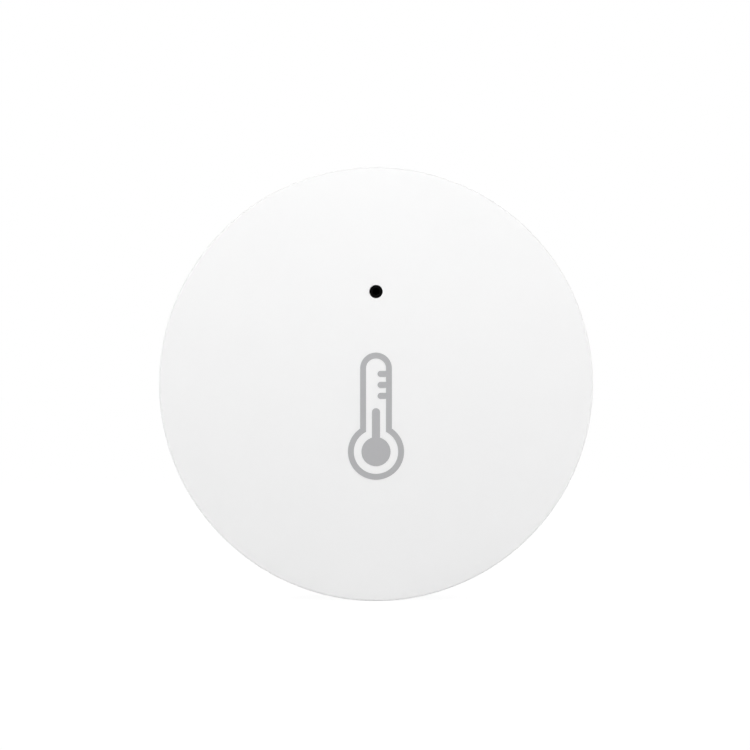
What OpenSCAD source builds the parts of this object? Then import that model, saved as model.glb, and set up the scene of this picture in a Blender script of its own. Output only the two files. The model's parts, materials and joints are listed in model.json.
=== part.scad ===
// Round wireless temperature and humidity sensor, stuck to a wall by its back.
// It is drawn lying on its adhesive back, and upright() stands it against the wall:
// front along -Y, top along +Z, with the origin at the middle of the adhesive face.

/* [Body] */
// Diameter of the round body
body_d = 36; // [34:0.5:60]
// Height of the crown of the front face above its edge
face_crown = 0.5; // [0.2:0.1:1.5]
// Rounding between the front face and the side wall
edge_r = 0.2; // [0.1:0.05:1]
// Rounding of the front shell's rim at the seam, and of the recess of the battery cover
rim_r = 0.2; // [0.1:0.05:0.3]
// Wall of the front shell
shell_wall = 1.3; // [1.1:0.1:2]
// Shadow gap between the front shell and the back plate
seam_gap = 0.3; // [0.1:0.1:0.6]

/* [Back plate] */
// Thickness of the back plate
plate_t = 1.2; // [1:0.1:1.4]
// How far the edge of the back plate lies inside the side of the body
plate_inset = 0.8; // [0.5:0.1:0.9]
// Rounding of the outer edge of the back plate
plate_edge_r = 0.5; // [0.2:0.1:0.8]
// Height of the skirt that plugs into the front shell
skirt_h = 3.2; // [2.8:0.1:3.6]
// Wall of the skirt
skirt_wall = 1.1; // [0.8:0.1:1.4]
// Reach of the snap beads beyond the bore of the front shell
snap_reach = 0.25; // [0.1:0.05:0.4]
// Thickness of the ribs between the skirt and the battery well
rib_t = 0.8; // [0.6:0.1:1.2]
// Height of those ribs
rib_h = 2; // [1:0.1:2.6]

/* [Adhesive ring] */
// Thickness of the adhesive foam
tape_t = 0.8; // [0.4:0.1:1.5]
// Width of the adhesive ring
tape_w = 2.4; // [1.5:0.1:2.6]
// Bare margin of the back plate outside the ring
tape_margin = 0.6; // [0.5:0.1:1]

/* [Battery] */
// Diameter of the coin cell
cell_d = 20; // [16:0.5:20.5]
// Thickness of the coin cell
cell_t = 3.2; // [2.5:0.1:5]
// Sheet thickness of the cell's can and cap
cell_sheet = 0.3; // [0.2:0.05:0.4]
// Width of the cell's seal, between its can and its cap
cell_seal_w = 0.8; // [0.4:0.1:2]
// How far the cap stands out of the can
cell_cap_rise = 0.25; // [0.1:0.05:0.4]

/* [Battery well] */
// Wall of the battery well
well_wall = 1.1; // [0.8:0.1:1.4]
// Thickness of the well's floor
well_floor_t = 0.8; // [0.6:0.1:1.2]
// Room between the cell and the well's floor for the leaf contact
contact_room = 0.3; // [0.2:0.1:1]

/* [Battery cover] */
// Thickness of the cover's plate
cover_t = 1.2; // [1.1:0.1:2]
// Rounding of the cover's outer edge
cover_edge_r = 0.3; // [0.1:0.1:0.5]
// Wall of the cover's inner ring
cover_ring_wall = 0.75; // [0.6:0.05:1]
// Turn from locked to open, in degrees
cover_turn = 30; // [20:1:40]
// Climb of the cover over its turn
cover_climb = 0.5; // [0.2:0.1:0.6]
// Thickness of the bayonet ledge where the cover is locked
ledge_t = 1; // [0.9:0.1:1.4]
// Width of each bayonet lug, in degrees
lug_arc = 14; // [10:1:20]
// Reach of each bayonet lug
lug_reach = 0.9; // [0.6:0.1:1.2]
// Thickness of each bayonet lug
lug_t = 0.7; // [0.5:0.1:1]
// Width of the coin slot
slot_w = 1.8; // [1.4:0.1:2.6]
// Length of the coin slot
slot_l = 14; // [8:0.5:18]
// Depth of the coin slot at its middle
slot_depth = 0.8; // [0.4:0.1:0.9]
// Depth of the engraved marks
mark_depth = 0.15; // [0.1:0.05:0.3]
// Size of the engraved marks
mark_size = 1; // [0.6:0.1:1.2]

/* [Circuit board] */
// Thickness of the board
board_t = 0.8; // [0.6:0.1:1.6]
// Room behind the board for solder and contact feet
solder_room = 0.55; // [0.5:0.05:1]
// Room in front of the board for its parts
part_room = 1.9; // [1.7:0.1:4]
// Depth of the flat that the board has behind the button
board_flat = 0.8; // [0.4:0.1:1.2]
// Distance of the screws from the edge of the board
screw_inset = 1.8; // [1.6:0.1:3]
// Diameter of the screws
screw_d = 1.2; // [1:0.1:1.6]
// Diameter of the screw heads
screw_head_d = 2.4; // [2:0.1:3]
// Height of the screw heads
screw_head_h = 0.5; // [0.3:0.05:0.5]
// Diameter of the screw bosses
boss_d = 3; // [2.4:0.1:3.4]

/* [Air port] */
// Diameter of the air port
port_d = 1.1; // [0.9:0.1:2]
// Height of the air port above the middle of the face
port_y = 7.65; // [6:0.05:9]
// Chamfer round the mouth of the air port
port_chamfer = 0.08; // [0.05:0.01:0.2]
// Diameter of the air channel in the rubber sleeve
port_bore_d = 0.6; // [0.4:0.1:0.8]
// Diameter of the sleeve's flange
sleeve_d = 3; // [2.4:0.1:4]
// Thickness of the sleeve's flange
sleeve_t = 0.5; // [0.3:0.1:0.7]
// Thickness of the dust mesh
mesh_t = 0.1; // [0.05:0.05:0.2]
// Side of the sensor chip
sensor_w = 2.5; // [2:0.1:3]
// Height of the sensor chip
sensor_h = 0.9; // [0.6:0.1:1]

/* [Button] */
// Width of the button's face
button_w = 4.6; // [3:0.1:6]
// Height of the button's face
button_h = 1.7; // [1.2:0.1:2]
// Travel of the button
button_travel = 0.3; // [0.2:0.05:0.4]
// How far the button's face lies below the rim
button_sink = 0.15; // [0:0.05:0.4]
// Width of the flange that keeps the button in, beyond its face
button_lip = 0.7; // [0.4:0.1:1]
// Width of the push switch
switch_w = 3.6; // [3:0.1:5]
// Depth of the push switch
switch_depth = 1.8; // [1.6:0.1:1.9]
// Height of the push switch
switch_h = 1.5; // [1.2:0.1:1.8]

/* [Icon] */
// Thickness of the ink
ink_t = 0.04; // [0.02:0.01:0.1]
// Stroke of the outline
icon_stroke = 0.48; // [0.2:0.02:0.6]
// Width of the tube
icon_tube_w = 2.62; // [2:0.02:4]
// Height of the top of the tube above the middle of the face
icon_top_y = 2.6; // [1:0.05:5]
// Height of the middle of the bulb
icon_bulb_y = -5.6; // [-8:0.1:-4]
// Diameter of the bulb's outline
icon_bulb_d = 4.64; // [3.4:0.02:6]
// Diameter of the filled bulb
icon_core_d = 2.4; // [1.6:0.02:3]
// Width of the column
icon_column_w = 0.66; // [0.4:0.02:1]
// Height of the top of the column
icon_column_y = -2; // [-3:0.1:1]
// Height of the uppermost scale mark
icon_tick_y = 0.84; // [0:0.02:1.4]
// Distance between the scale marks
icon_tick_pitch = 0.91; // [0.6:0.01:1.2]
// Length of the scale marks
icon_tick_l = 0.7; // [0.4:0.05:1]
// Thickness of the scale marks
icon_tick_h = 0.5; // [0.2:0.02:0.6]

/* [Hidden] */
$fn = 180;

// Clearances
shell_fit = 0.15;    // skirt in the bore of the front shell
seat_lip = 0.4;      // shoulder that the rim of the front shell sits on
board_fit = 0.7;     // board in the bore of the front shell
cell_fit = 0.25;     // cell in the well
cell_seat = 0.05;    // cell on the cover
cell_joint = 0.03;   // between the pieces of the cell
cover_fit = 0.2;     // cover in its recess, and its ring and lugs in their grooves
cover_cell_fit = 0.35;
cover_sink = 0.1;    // cover below the back plate
cover_seat = 0.1;    // cover above the ledge
cover_overlap = 0.4; // recess beyond the lug grooves
lug_fit = 0.1;       // lug under the ramp
lug_floor_fit = 0.15;
pocket_sink = 0.1;   // lug pockets below the shelf
lug_stand = 0.1;     // lugs beyond the end of the cover's ring
lug_end_fit = 1.5;   // degrees past each end of the turn
button_fit = 0.1;    // button in its opening
button_wall_fit = 0.1;
screw_fit = 0.02;
screw_hole_fit = 0.2;
sleeve_fit = 0.03;
contact_fit = 0.02;
bite = 0.3;          // how far one solid reaches into another where they are one moulding
beyond = 1;          // how far a cut runs past what it cuts

// Levels, from the adhesive face towards the front
plate_z0 = tape_t;
plate_z1 = plate_z0 + plate_t;
seam_z = plate_z1 + seam_gap;
skirt_z1 = plate_z1 + skirt_h;
cover_z0 = plate_z0 + cover_sink;
cover_z1 = cover_z0 + cover_t;
ledge_z0 = cover_z1 + cover_seat;
ramp_z = ledge_z0 + ledge_t;
lug_z0 = ramp_z + lug_fit;
lug_z1 = lug_z0 + lug_t;
cover_ring_z1 = lug_z1 - lug_stand;
groove_z1 = lug_z1 + lug_floor_fit;
pocket_z1 = groove_z1 + pocket_sink;
shelf_z1 = pocket_z1 + well_wall;
cell_z0 = cover_z1 + cell_seat;
cell_z1 = cell_z0 + cell_t;
floor_z0 = cell_z1 + contact_room;
floor_z1 = max(floor_z0 + well_floor_t, shelf_z1);
board_z0 = floor_z1 + solder_room;
board_z1 = board_z0 + board_t;
body_t = board_z1 + part_room + shell_wall + face_crown;

// Radii, from the middle outwards
cell_r = cell_d / 2;
cell_cap_r = cell_r - cell_sheet - cell_seal_w;
guide_r = cell_r + cell_fit;
cell_wall_r = guide_r + well_wall;
cover_ring_in = cell_r + cover_cell_fit;
cover_ring_r = cover_ring_in + cover_ring_wall;
ledge_r = cover_ring_r + cover_fit;
lug_r = cover_ring_r + lug_reach;
groove_r = lug_r + cover_fit;
recess_r = groove_r + cover_overlap;
cover_r = recess_r - cover_fit;
well_r = groove_r + well_wall;
body_r = body_d / 2;
shell_in_r = body_r - shell_wall;
plate_r = body_r - plate_inset;
shoulder_r = shell_in_r + seat_lip;
skirt_r = shell_in_r - shell_fit;
skirt_in_r = skirt_r - skirt_wall;
tape_r = plate_r - tape_margin;
tape_in_r = tape_r - tape_w;
board_r = shell_in_r - board_fit;

// The front face is a shallow dome, and a rounded edge runs into it
arc_steps = 8;
rim_steps = 4;
dome_steps = 12;
dome_r = (body_r * body_r + face_crown * face_crown) / (2 * face_crown);
dome_z = body_t - dome_r;
edge_in_r = body_r - edge_r;
edge_z = dome_z + sqrt(pow(dome_r - edge_r, 2) - pow(edge_in_r, 2));
dome_start = atan2(edge_z - dome_z, edge_in_r);
dome_in_start = acos(shell_in_r / (dome_r - shell_wall));

// Scale marks of the icon
icon_tick_count = 3;

// Snap beads
snap_lift = 1.4;
snap_z0 = seam_z + snap_lift;
snap_h = 0.4;
snap_ramp = 0.8;
snap_arc = 24;
snap_angles = [45, 135, 225, 315];

// Bayonet
lug_angles = [30, 150, 270];
lug_mid_r = cover_ring_r + lug_reach / 2;
ramp_slope = atan(cover_climb / (cover_turn * PI / 180) / lug_mid_r);
mark_angle = 90;

// Board screws
screw_angles = [30, 150, 270];
screw_pos_r = board_r - screw_inset;
screw_z1 = face_inner_z(screw_pos_r);
screw_cross_l = 1.7;
screw_cross_w = 0.3;
screw_cross_depth = 0.25;

// Button and switch
board_flat_y = board_r - board_flat;
switch_gap = 0.1;
switch_y1 = board_flat_y - switch_gap;
switch_y0 = switch_y1 - switch_depth;
plunger_w = 1.8;
plunger_h = 0.9;
plunger_out = 0.5;
plunger_in = 0.5;
plunger_fit = 0.1;
plunger_tip_y = switch_y1 + plunger_out;
button_stem = 0.25;
button_z = board_z0 - switch_h / 2;
button_flange_w = button_w + 2 * button_lip;
button_flange_h = button_h + 2 * button_lip;
button_flange_y = plunger_tip_y + button_stem;
skirt_notch_fit = 0.4;
skirt_notch = asin((button_flange_w / 2 + skirt_notch_fit) / skirt_in_r);

// Air port
sensor_z1 = board_z1 + sensor_h;
mesh_z1 = sensor_z1 + mesh_t;
sleeve_z1 = mesh_z1 + sleeve_t;
sleeve_sink = 0.04;
sleeve_bed = 0.3;
sleeve_wall = 0.6;

// Contacts
contact_t = 0.2;
contact_w = 3.2;
contact_foot = 2;
contact_slack = 0.3;
side_contact_r = guide_r + contact_slack;
side_contact_angle = 180;
leaf_w = 3;
leaf_foot_x = 3;
leaf_tip_x = -2.5;

// Parts soldered to the front of the board
radio_pos = [-6.5, 0];
radio_size = [5, 5, 0.85];
crystal_pos = [-6.5, -5.5];
crystal_size = [3.2, 2.5, 0.7];
led_pos = [4.4, 8.6];
led_size = [1.6, 0.8, 0.6];
led_window_t = 0.5;
led_window_d = 2.2;
chip_size = [1, 0.5, 0.5];
chip_start = [3, -1];
chip_pitch_x = 1.6;
chip_pitch_y = 1.8;
chip_columns = 4;
chip_rows = 3;
trace_pos = [3.4, -11.2];
trace_w = 0.4;
trace_h = 2.8;
trace_pitch = 1;
trace_fingers = 7;
trace_t = 0.05;

// Height of the inner side of the front face at a distance from the middle
function face_inner_z(r) = dome_z + sqrt(pow(dome_r - shell_wall, 2) - r * r);

// Height of the outer side of the front face at a distance from the middle
function face_outer_z(r) = dome_z + sqrt(dome_r * dome_r - r * r);

// Points of an arc, without its first point when skip is 1
function arc(x, y, r, from, to, steps, skip = 0) =
    [for (i = [skip:steps]) let (a = from + (to - from) * i / steps) [x + r * cos(a), y + r * sin(a)]];

// Stands the drawing against the wall
module upright() rotate([90, 0, 0]) children();

module ring(r_in, r_out, z0, z1)
    rotate_extrude() translate([r_in, z0]) square([r_out - r_in, z1 - z0]);

module sector(r_in, r_out, z0, z1, from, to)
    rotate([0, 0, from]) rotate_extrude(angle = to - from)
        translate([r_in, z0]) square([r_out - r_in, z1 - z0]);

module disc(r, z0, z1) translate([0, 0, z0]) cylinder(r = r, h = z1 - z0);

// A block that stands on a height, centred on a place
module block(size, place, z0)
    translate([place[0] - size[0] / 2, place[1] - size[1] / 2, z0]) cube(size);

// An outline in the upright plane of the rim, pushed outwards along y
module towards_rim(y0, y1) translate([0, y0, button_z]) rotate([-90, 0, 0])
    linear_extrude(y1 - y0) children();

module pill(w, h) {
    square([w - h, h], center = true);
    for (side = [-1, 1]) translate([side * (w - h) / 2, 0]) circle(d = h);
}

// Everything on the front side of the bayonet ramp whose middle lies at an angle and a height
module under_ramp(angle, z) rotate([0, 0, angle]) translate([lug_mid_r, 0, z])
    rotate([ramp_slope, 0, 0]) translate([-lug_r, -lug_r, 0]) cube([2 * lug_r, 2 * lug_r, lug_r]);

// Front

module front_wall() rotate_extrude() polygon(concat(
    [[shell_in_r, seam_z]],
    arc(body_r - rim_r, seam_z + rim_r, rim_r, 270, 360, rim_steps),
    arc(edge_in_r, edge_z, edge_r, 0, dome_start, arc_steps),
    arc(0, dome_z, dome_r, dome_start, 90, dome_steps, 1),
    arc(0, dome_z, dome_r - shell_wall, 90, dome_in_start, dome_steps)));

module front_shell() color("#f3f3f2") upright() difference() {
    union() {
        front_wall();
        for (a = screw_angles) rotate([0, 0, a]) translate([screw_pos_r, 0, 0])
            disc(boss_d / 2, board_z1, screw_z1 + bite);
        translate([0, port_y, 0])
            disc(sleeve_d / 2 + sleeve_wall, sleeve_z1 - sleeve_bed, face_inner_z(port_y) + bite);
    }
    for (a = screw_angles) rotate([0, 0, a]) translate([screw_pos_r, 0, 0])
        disc(screw_d / 2 + screw_fit, board_z1 - beyond, screw_z1 + bite);
    translate([0, port_y, 0]) {
        disc(port_d / 2, sleeve_z1 - beyond, body_t + beyond);
        disc(sleeve_d / 2 + sleeve_fit, sleeve_z1 - beyond, sleeve_z1);
        translate([0, 0, face_outer_z(port_y) - port_chamfer])
            cylinder(r1 = port_d / 2, r2 = port_d / 2 + 2 * port_chamfer, h = 2 * port_chamfer);
    }
    translate(led_pos)
        disc(led_window_d / 2, board_z1, face_outer_z(norm(led_pos)) - led_window_t);
    ring(shell_in_r - bite, shell_in_r + snap_reach + button_fit,
        snap_z0 - button_fit, snap_z0 + snap_h + snap_ramp + button_fit);
    towards_rim(skirt_in_r, body_r + beyond)
        pill(button_w + 2 * button_fit, button_h + 2 * button_fit);
}

module icon_outline(inset) {
    tube_r = icon_tube_w / 2 - inset;
    tube_y = icon_top_y - icon_tube_w / 2;
    translate([-tube_r, icon_bulb_y]) square([2 * tube_r, tube_y - icon_bulb_y]);
    translate([0, tube_y]) circle(tube_r);
    translate([0, icon_bulb_y]) circle(icon_bulb_d / 2 - inset);
}

module icon_column() {
    end_y = icon_column_y - icon_column_w / 2;
    translate([-icon_column_w / 2, icon_bulb_y]) square([icon_column_w, end_y - icon_bulb_y]);
    translate([0, end_y]) circle(d = icon_column_w);
    translate([0, icon_bulb_y]) circle(d = icon_core_d);
}

module icon_ticks() {
    wall_x = icon_tube_w / 2 - icon_stroke / 2;
    end_x = icon_tube_w / 2 - icon_stroke - icon_tick_l + icon_tick_h / 2;
    for (i = [0:icon_tick_count - 1]) translate([0, icon_tick_y - i * icon_tick_pitch]) {
        translate([end_x, -icon_tick_h / 2]) square([wall_x - end_x, icon_tick_h]);
        translate([end_x, 0]) circle(d = icon_tick_h);
    }
}

// The ink lies on the dome, as thick everywhere
module face_icon() color("#b1b1b3") upright() intersection() {
    translate([0, 0, face_inner_z(0)]) linear_extrude(body_t - face_inner_z(0) + beyond) {
        difference() {
            icon_outline(0);
            icon_outline(icon_stroke);
        }
        icon_column();
        icon_ticks();
    }
    rotate_extrude() polygon(concat(
        arc(0, dome_z, dome_r + ink_t, dome_start, 90, dome_steps),
        arc(0, dome_z, dome_r, 90, dome_start, dome_steps)));
}

module port_sleeve() color("#0a0a0a") upright() translate([0, port_y, 0]) difference() {
    union() {
        disc(sleeve_d / 2, mesh_z1, sleeve_z1);
        disc(port_d / 2 - sleeve_fit, mesh_z1, face_outer_z(port_y) - sleeve_sink);
    }
    disc(port_bore_d / 2, mesh_z1 - beyond, body_t + beyond);
}

module port_mesh() color("#3a3a3c") upright() translate([0, port_y, 0])
    disc(sensor_w / 2, sensor_z1, mesh_z1);

module reset_button() color("#f3f3f2") upright() {
    intersection() {
        towards_rim(button_flange_y, body_r) pill(button_w, button_h);
        disc(body_r - button_sink, 0, body_t);
    }
    intersection() {
        towards_rim(button_flange_y, shell_in_r)
            square([button_flange_w, button_flange_h], center = true);
        disc(shell_in_r - button_wall_fit, 0, body_t);
    }
    towards_rim(plunger_tip_y + contact_fit, button_flange_y + bite)
        square([plunger_w, plunger_h], center = true);
}

// Back

module back_wall() rotate_extrude() polygon(concat(
    arc(recess_r + rim_r, plate_z0 + rim_r, rim_r, 180, 270, rim_steps),
    arc(plate_r - plate_edge_r, plate_z0 + plate_edge_r, plate_edge_r, 270, 360, arc_steps),
    [[plate_r, plate_z1], [well_r, plate_z1], [well_r, shelf_z1], [cell_wall_r, shelf_z1],
    [cell_wall_r, floor_z1], [0, floor_z1], [0, floor_z0], [guide_r, floor_z0],
    [guide_r, groove_z1], [ledge_r, groove_z1], [ledge_r, ledge_z0], [recess_r, ledge_z0]]));

module snap_bead() rotate([0, 0, -snap_arc / 2]) rotate_extrude(angle = snap_arc) polygon([
    [skirt_r - bite, snap_z0], [shell_in_r + snap_reach, snap_z0],
    [shell_in_r + snap_reach, snap_z0 + snap_h], [skirt_r - bite, snap_z0 + snap_h + snap_ramp]]);

// Groove that a lug turns in, and the notch that it comes in by
module bayonet_cut(angle) {
    half = lug_arc / 2 + lug_end_fit;
    intersection() {
        sector(ledge_r - bite, groove_r, ledge_z0, pocket_z1, angle - cover_turn - half, angle + half);
        under_ramp(angle - cover_turn / 2, ramp_z - cover_climb / 2);
    }
    sector(ledge_r - bite, groove_r, ledge_z0 - beyond, pocket_z1,
        angle - cover_turn - half, angle - cover_turn + half);
}

module back_shell() color("#efefed") upright() difference() {
    union() {
        back_wall();
        ring(skirt_r - bite, shoulder_r, plate_z1 - bite, seam_z);
        sector(skirt_in_r, skirt_r, plate_z1 - bite, skirt_z1, 90 + skirt_notch, 360 + 90 - skirt_notch);
        for (a = snap_angles) rotate([0, 0, a]) snap_bead();
        for (a = screw_angles) rotate([0, 0, a])
            translate([well_r - bite, -rib_t / 2, plate_z1 - bite])
                cube([skirt_in_r - well_r + 2 * bite, rib_t, rib_h + bite]);
    }
    for (a = lug_angles) bayonet_cut(a);
    // windows for the two battery contacts
    translate([leaf_tip_x - contact_slack, -leaf_w / 2 - contact_slack, floor_z0 - beyond])
        cube([leaf_foot_x + contact_foot - leaf_tip_x + 2 * contact_slack,
            leaf_w + 2 * contact_slack, floor_z1 - floor_z0 + 2 * beyond]);
    rotate([0, 0, side_contact_angle])
        translate([guide_r - bite, -contact_w / 2 - contact_slack, groove_z1 - bite])
            cube([side_contact_r + contact_t + contact_slack - guide_r + bite,
                contact_w + 2 * contact_slack, floor_z1 - groove_z1 + bite + beyond]);
    // closed and open marks
    rotate([0, 0, mark_angle]) translate([(recess_r + tape_in_r) / 2, 0, plate_z0 - beyond])
        linear_extrude(beyond + mark_depth) square([mark_size, mark_size / 3], center = true);
    rotate([0, 0, mark_angle - cover_turn])
        translate([(recess_r + tape_in_r) / 2, 0, plate_z0 - beyond])
            linear_extrude(beyond + mark_depth) difference() {
                circle(d = mark_size);
                circle(d = mark_size / 2);
            }
}

module cover_lug(angle) intersection() {
    sector(cover_ring_r - bite, lug_r, ramp_z - cover_climb, lug_z1,
        angle - lug_arc / 2, angle + lug_arc / 2);
    under_ramp(angle, lug_z0);
}

// A coin that dips into the cover by the depth of the slot
module coin_cut() {
    coin_r = (pow(slot_l / 2, 2) + pow(slot_depth, 2)) / (2 * slot_depth);
    translate([0, 0, cover_z0 + slot_depth - coin_r]) rotate([90, 0, 0])
        cylinder(r = coin_r, h = slot_w, center = true);
}

module battery_cover() color("#efefed") upright() difference() {
    union() {
        rotate_extrude() polygon(concat(
            [[0, cover_z0]],
            arc(cover_r - cover_edge_r, cover_z0 + cover_edge_r, cover_edge_r, 270, 360, arc_steps),
            [[cover_r, cover_z1], [cover_ring_r, cover_z1], [cover_ring_r, cover_ring_z1],
            [cover_ring_in, cover_ring_z1], [cover_ring_in, cover_z1], [0, cover_z1]]));
        for (a = lug_angles) cover_lug(a);
    }
    coin_cut();
    rotate([0, 0, mark_angle]) translate([cover_r - cover_edge_r - mark_size, 0, cover_z0 - beyond])
        linear_extrude(beyond + mark_depth)
            polygon([[0, -mark_size / 2], [mark_size * sqrt(3) / 2, 0], [0, mark_size / 2]]);
}

module adhesive_ring() color("#e4e4e0") upright() ring(tape_in_r, tape_r, 0, tape_t);

// Circuit board

module circuit_board() color("#1f6b45") upright() difference() {
    disc(board_r, board_z0, board_z1);
    translate([-board_r, board_flat_y, board_z0 - beyond])
        cube([2 * board_r, board_r, board_t + 2 * beyond]);
    for (a = screw_angles) rotate([0, 0, a]) translate([screw_pos_r, 0, 0])
        disc(screw_d / 2 + screw_hole_fit, board_z0 - beyond, board_z1 + beyond);
}

module board_screws() color("silver") upright()
    for (a = screw_angles) rotate([0, 0, a]) translate([screw_pos_r, 0, 0]) difference() {
        union() {
            disc(screw_head_d / 2, board_z0 - screw_head_h, board_z0);
            disc(screw_d / 2, board_z0 - screw_head_h, screw_z1);
        }
        for (turn = [0, 90]) rotate([0, 0, turn])
            block([screw_cross_l, screw_cross_w, screw_cross_depth + beyond], [0, 0],
                board_z0 - screw_head_h - beyond);
    }

module radio_chip() color("#202022") upright() block(radio_size, radio_pos, board_z1);

module crystal() color("silver") upright() block(crystal_size, crystal_pos, board_z1);

module sensor_chip() color("#2a2a2c") upright()
    block([sensor_w, sensor_w, sensor_h], [0, port_y], board_z1);

module status_led() color("#dfe8ff") upright() block(led_size, led_pos, board_z1);

module board_passives() color("#8a6f55") upright()
    for (column = [0:chip_columns - 1], row = [0:chip_rows - 1])
        block(chip_size, chip_start + [column * chip_pitch_x, -row * chip_pitch_y], board_z1);

module antenna_trace() color("#c98b4b") upright() translate([trace_pos[0], trace_pos[1], board_z1])
    linear_extrude(trace_t) {
        for (i = [0:trace_fingers]) translate([i * trace_pitch, 0]) square([trace_w, trace_h]);
        for (i = [0:trace_fingers - 1])
            translate([i * trace_pitch, i % 2 == 0 ? trace_h - trace_w : 0])
                square([trace_pitch + trace_w, trace_w]);
    }

module switch_body() color("#303034") upright() difference() {
    translate([-switch_w / 2, switch_y0, board_z0 - switch_h]) cube([switch_w, switch_depth, switch_h]);
    towards_rim(switch_y1 - plunger_in - button_travel - plunger_fit, switch_y1 + beyond)
        square([plunger_w + 2 * plunger_fit, plunger_h + 2 * plunger_fit], center = true);
}

module switch_plunger() color("#d8d8d8") upright()
    towards_rim(switch_y1 - plunger_in, plunger_tip_y) square([plunger_w, plunger_h], center = true);

// Leaf that presses on the cap of the cell
module negative_contact() color("#c9b27a") upright()
    translate([0, leaf_w / 2, 0]) rotate([90, 0, 0]) linear_extrude(leaf_w) polygon([
        [leaf_foot_x + contact_foot, board_z0], [leaf_foot_x + contact_foot, board_z0 - contact_t],
        [leaf_foot_x, board_z0 - contact_t], [leaf_tip_x, cell_z1 + contact_fit],
        [leaf_tip_x, cell_z1 + contact_fit + contact_t], [leaf_foot_x, board_z0]]);

// Strip with a bump that presses on the side of the cell
module positive_contact() color("#c9b27a") upright() rotate([0, 0, side_contact_angle])
    translate([0, contact_w / 2, 0]) rotate([90, 0, 0]) linear_extrude(contact_w) {
        bump_r = side_contact_r + contact_t - cell_r - contact_fit;
        translate([side_contact_r, groove_z1 + contact_slack])
            square([contact_t, board_z0 - groove_z1 - contact_slack]);
        translate([side_contact_r, board_z0 - contact_t]) square([contact_foot, contact_t]);
        intersection() {
            translate([side_contact_r + contact_t, (groove_z1 + floor_z0) / 2 + contact_slack])
                circle(bump_r);
            translate([cell_r, groove_z1])
                square([side_contact_r + contact_t - cell_r, floor_z0 - groove_z1]);
        }
    }

// Coin cell, with its positive can towards the cover

module cell_can() color("#c8c8ca") upright() difference() {
    disc(cell_r, cell_z0, cell_z1 - cell_cap_rise);
    disc(cell_r - cell_sheet, cell_z0 + cell_sheet, cell_z1);
}

module cell_cap() color("#bdbdc0") upright() difference() {
    disc(cell_cap_r, cell_z0 + 2 * cell_sheet, cell_z1);
    disc(cell_cap_r - cell_sheet, cell_z0, cell_z1 - cell_sheet);
}

module cell_seal() color("#4a4a4c") upright()
    ring(cell_cap_r + cell_joint, cell_r - cell_sheet - cell_joint,
        cell_z0 + cell_sheet, cell_z1 - cell_cap_rise);

module cell_core() color("#29292b") upright()
    disc(cell_cap_r - cell_sheet - cell_joint, cell_z0 + cell_sheet, cell_z1 - cell_sheet);

front_shell();
face_icon();
port_sleeve();
port_mesh();
reset_button();
back_shell();
battery_cover();
adhesive_ring();
circuit_board();
board_screws();
radio_chip();
crystal();
sensor_chip();
status_led();
board_passives();
antenna_trace();
switch_body();
switch_plunger();
negative_contact();
positive_contact();
cell_can();
cell_cap();
cell_seal();
cell_core();
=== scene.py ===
"""Looks of a round wireless temperature and humidity sensor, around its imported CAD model.

Pieces are drawn in millimetres, as the sensor lies on a bench: z = 0 is the adhesive back, +z the front and
+y the top. STAND puts a finished mesh in the frame, in metres: front along -Y, top along +Z.
"""
import json
import math

import bmesh
import bpy
from mathutils import Matrix, Vector
from mathutils.geometry import tessellate_polygon


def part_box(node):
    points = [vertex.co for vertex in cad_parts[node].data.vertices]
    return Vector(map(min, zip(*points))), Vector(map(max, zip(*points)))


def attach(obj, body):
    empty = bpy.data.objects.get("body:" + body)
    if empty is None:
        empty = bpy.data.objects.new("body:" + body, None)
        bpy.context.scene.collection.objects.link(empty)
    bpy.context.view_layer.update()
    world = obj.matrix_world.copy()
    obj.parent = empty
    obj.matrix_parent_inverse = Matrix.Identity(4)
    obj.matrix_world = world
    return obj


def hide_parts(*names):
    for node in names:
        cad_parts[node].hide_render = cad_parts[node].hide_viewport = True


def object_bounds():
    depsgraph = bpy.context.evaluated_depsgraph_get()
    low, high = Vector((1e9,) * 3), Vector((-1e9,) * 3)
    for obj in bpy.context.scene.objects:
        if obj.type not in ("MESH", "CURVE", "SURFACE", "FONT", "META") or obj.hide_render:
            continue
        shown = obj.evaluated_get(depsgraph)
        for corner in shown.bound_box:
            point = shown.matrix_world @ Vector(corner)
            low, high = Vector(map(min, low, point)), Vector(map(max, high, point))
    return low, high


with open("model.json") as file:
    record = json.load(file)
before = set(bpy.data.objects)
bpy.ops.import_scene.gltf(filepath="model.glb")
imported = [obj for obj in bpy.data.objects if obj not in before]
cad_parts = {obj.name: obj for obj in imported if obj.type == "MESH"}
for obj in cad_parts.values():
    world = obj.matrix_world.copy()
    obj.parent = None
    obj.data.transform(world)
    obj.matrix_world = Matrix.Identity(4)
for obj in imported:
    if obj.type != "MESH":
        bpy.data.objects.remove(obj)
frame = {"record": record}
cad_low, cad_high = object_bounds()

MM = 0.001
STAND = Matrix(((MM, 0, 0, 0), (0, 0, -MM, 0), (0, MM, 0, 0), (0, 0, 0, 1)))
BODY_OF = {node: body for body, nodes in frame["record"]["behaviour"]["bodies"].items() for node in nodes}


def depth(node):
    """Back and front level of a node on the bench, in mm."""
    low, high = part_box(node)
    return -high.y / MM, -low.y / MM


def across(node):
    """Left and right side of a node, in mm. The right side of a round one is its radius."""
    low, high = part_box(node)
    return low.x / MM, high.x / MM


def upward(node):
    """Lower and upper side of a node, up the wall, in mm."""
    low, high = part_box(node)
    return low.z / MM, high.z / MM


def spans(node):
    """A node's sides across, upward and in depth, in mm."""
    return across(node), upward(node), depth(node)


def middle(node):
    """Middle of a node, seen from the front, in mm."""
    return sum(across(node)) / 2, sum(upward(node)) / 2


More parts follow.
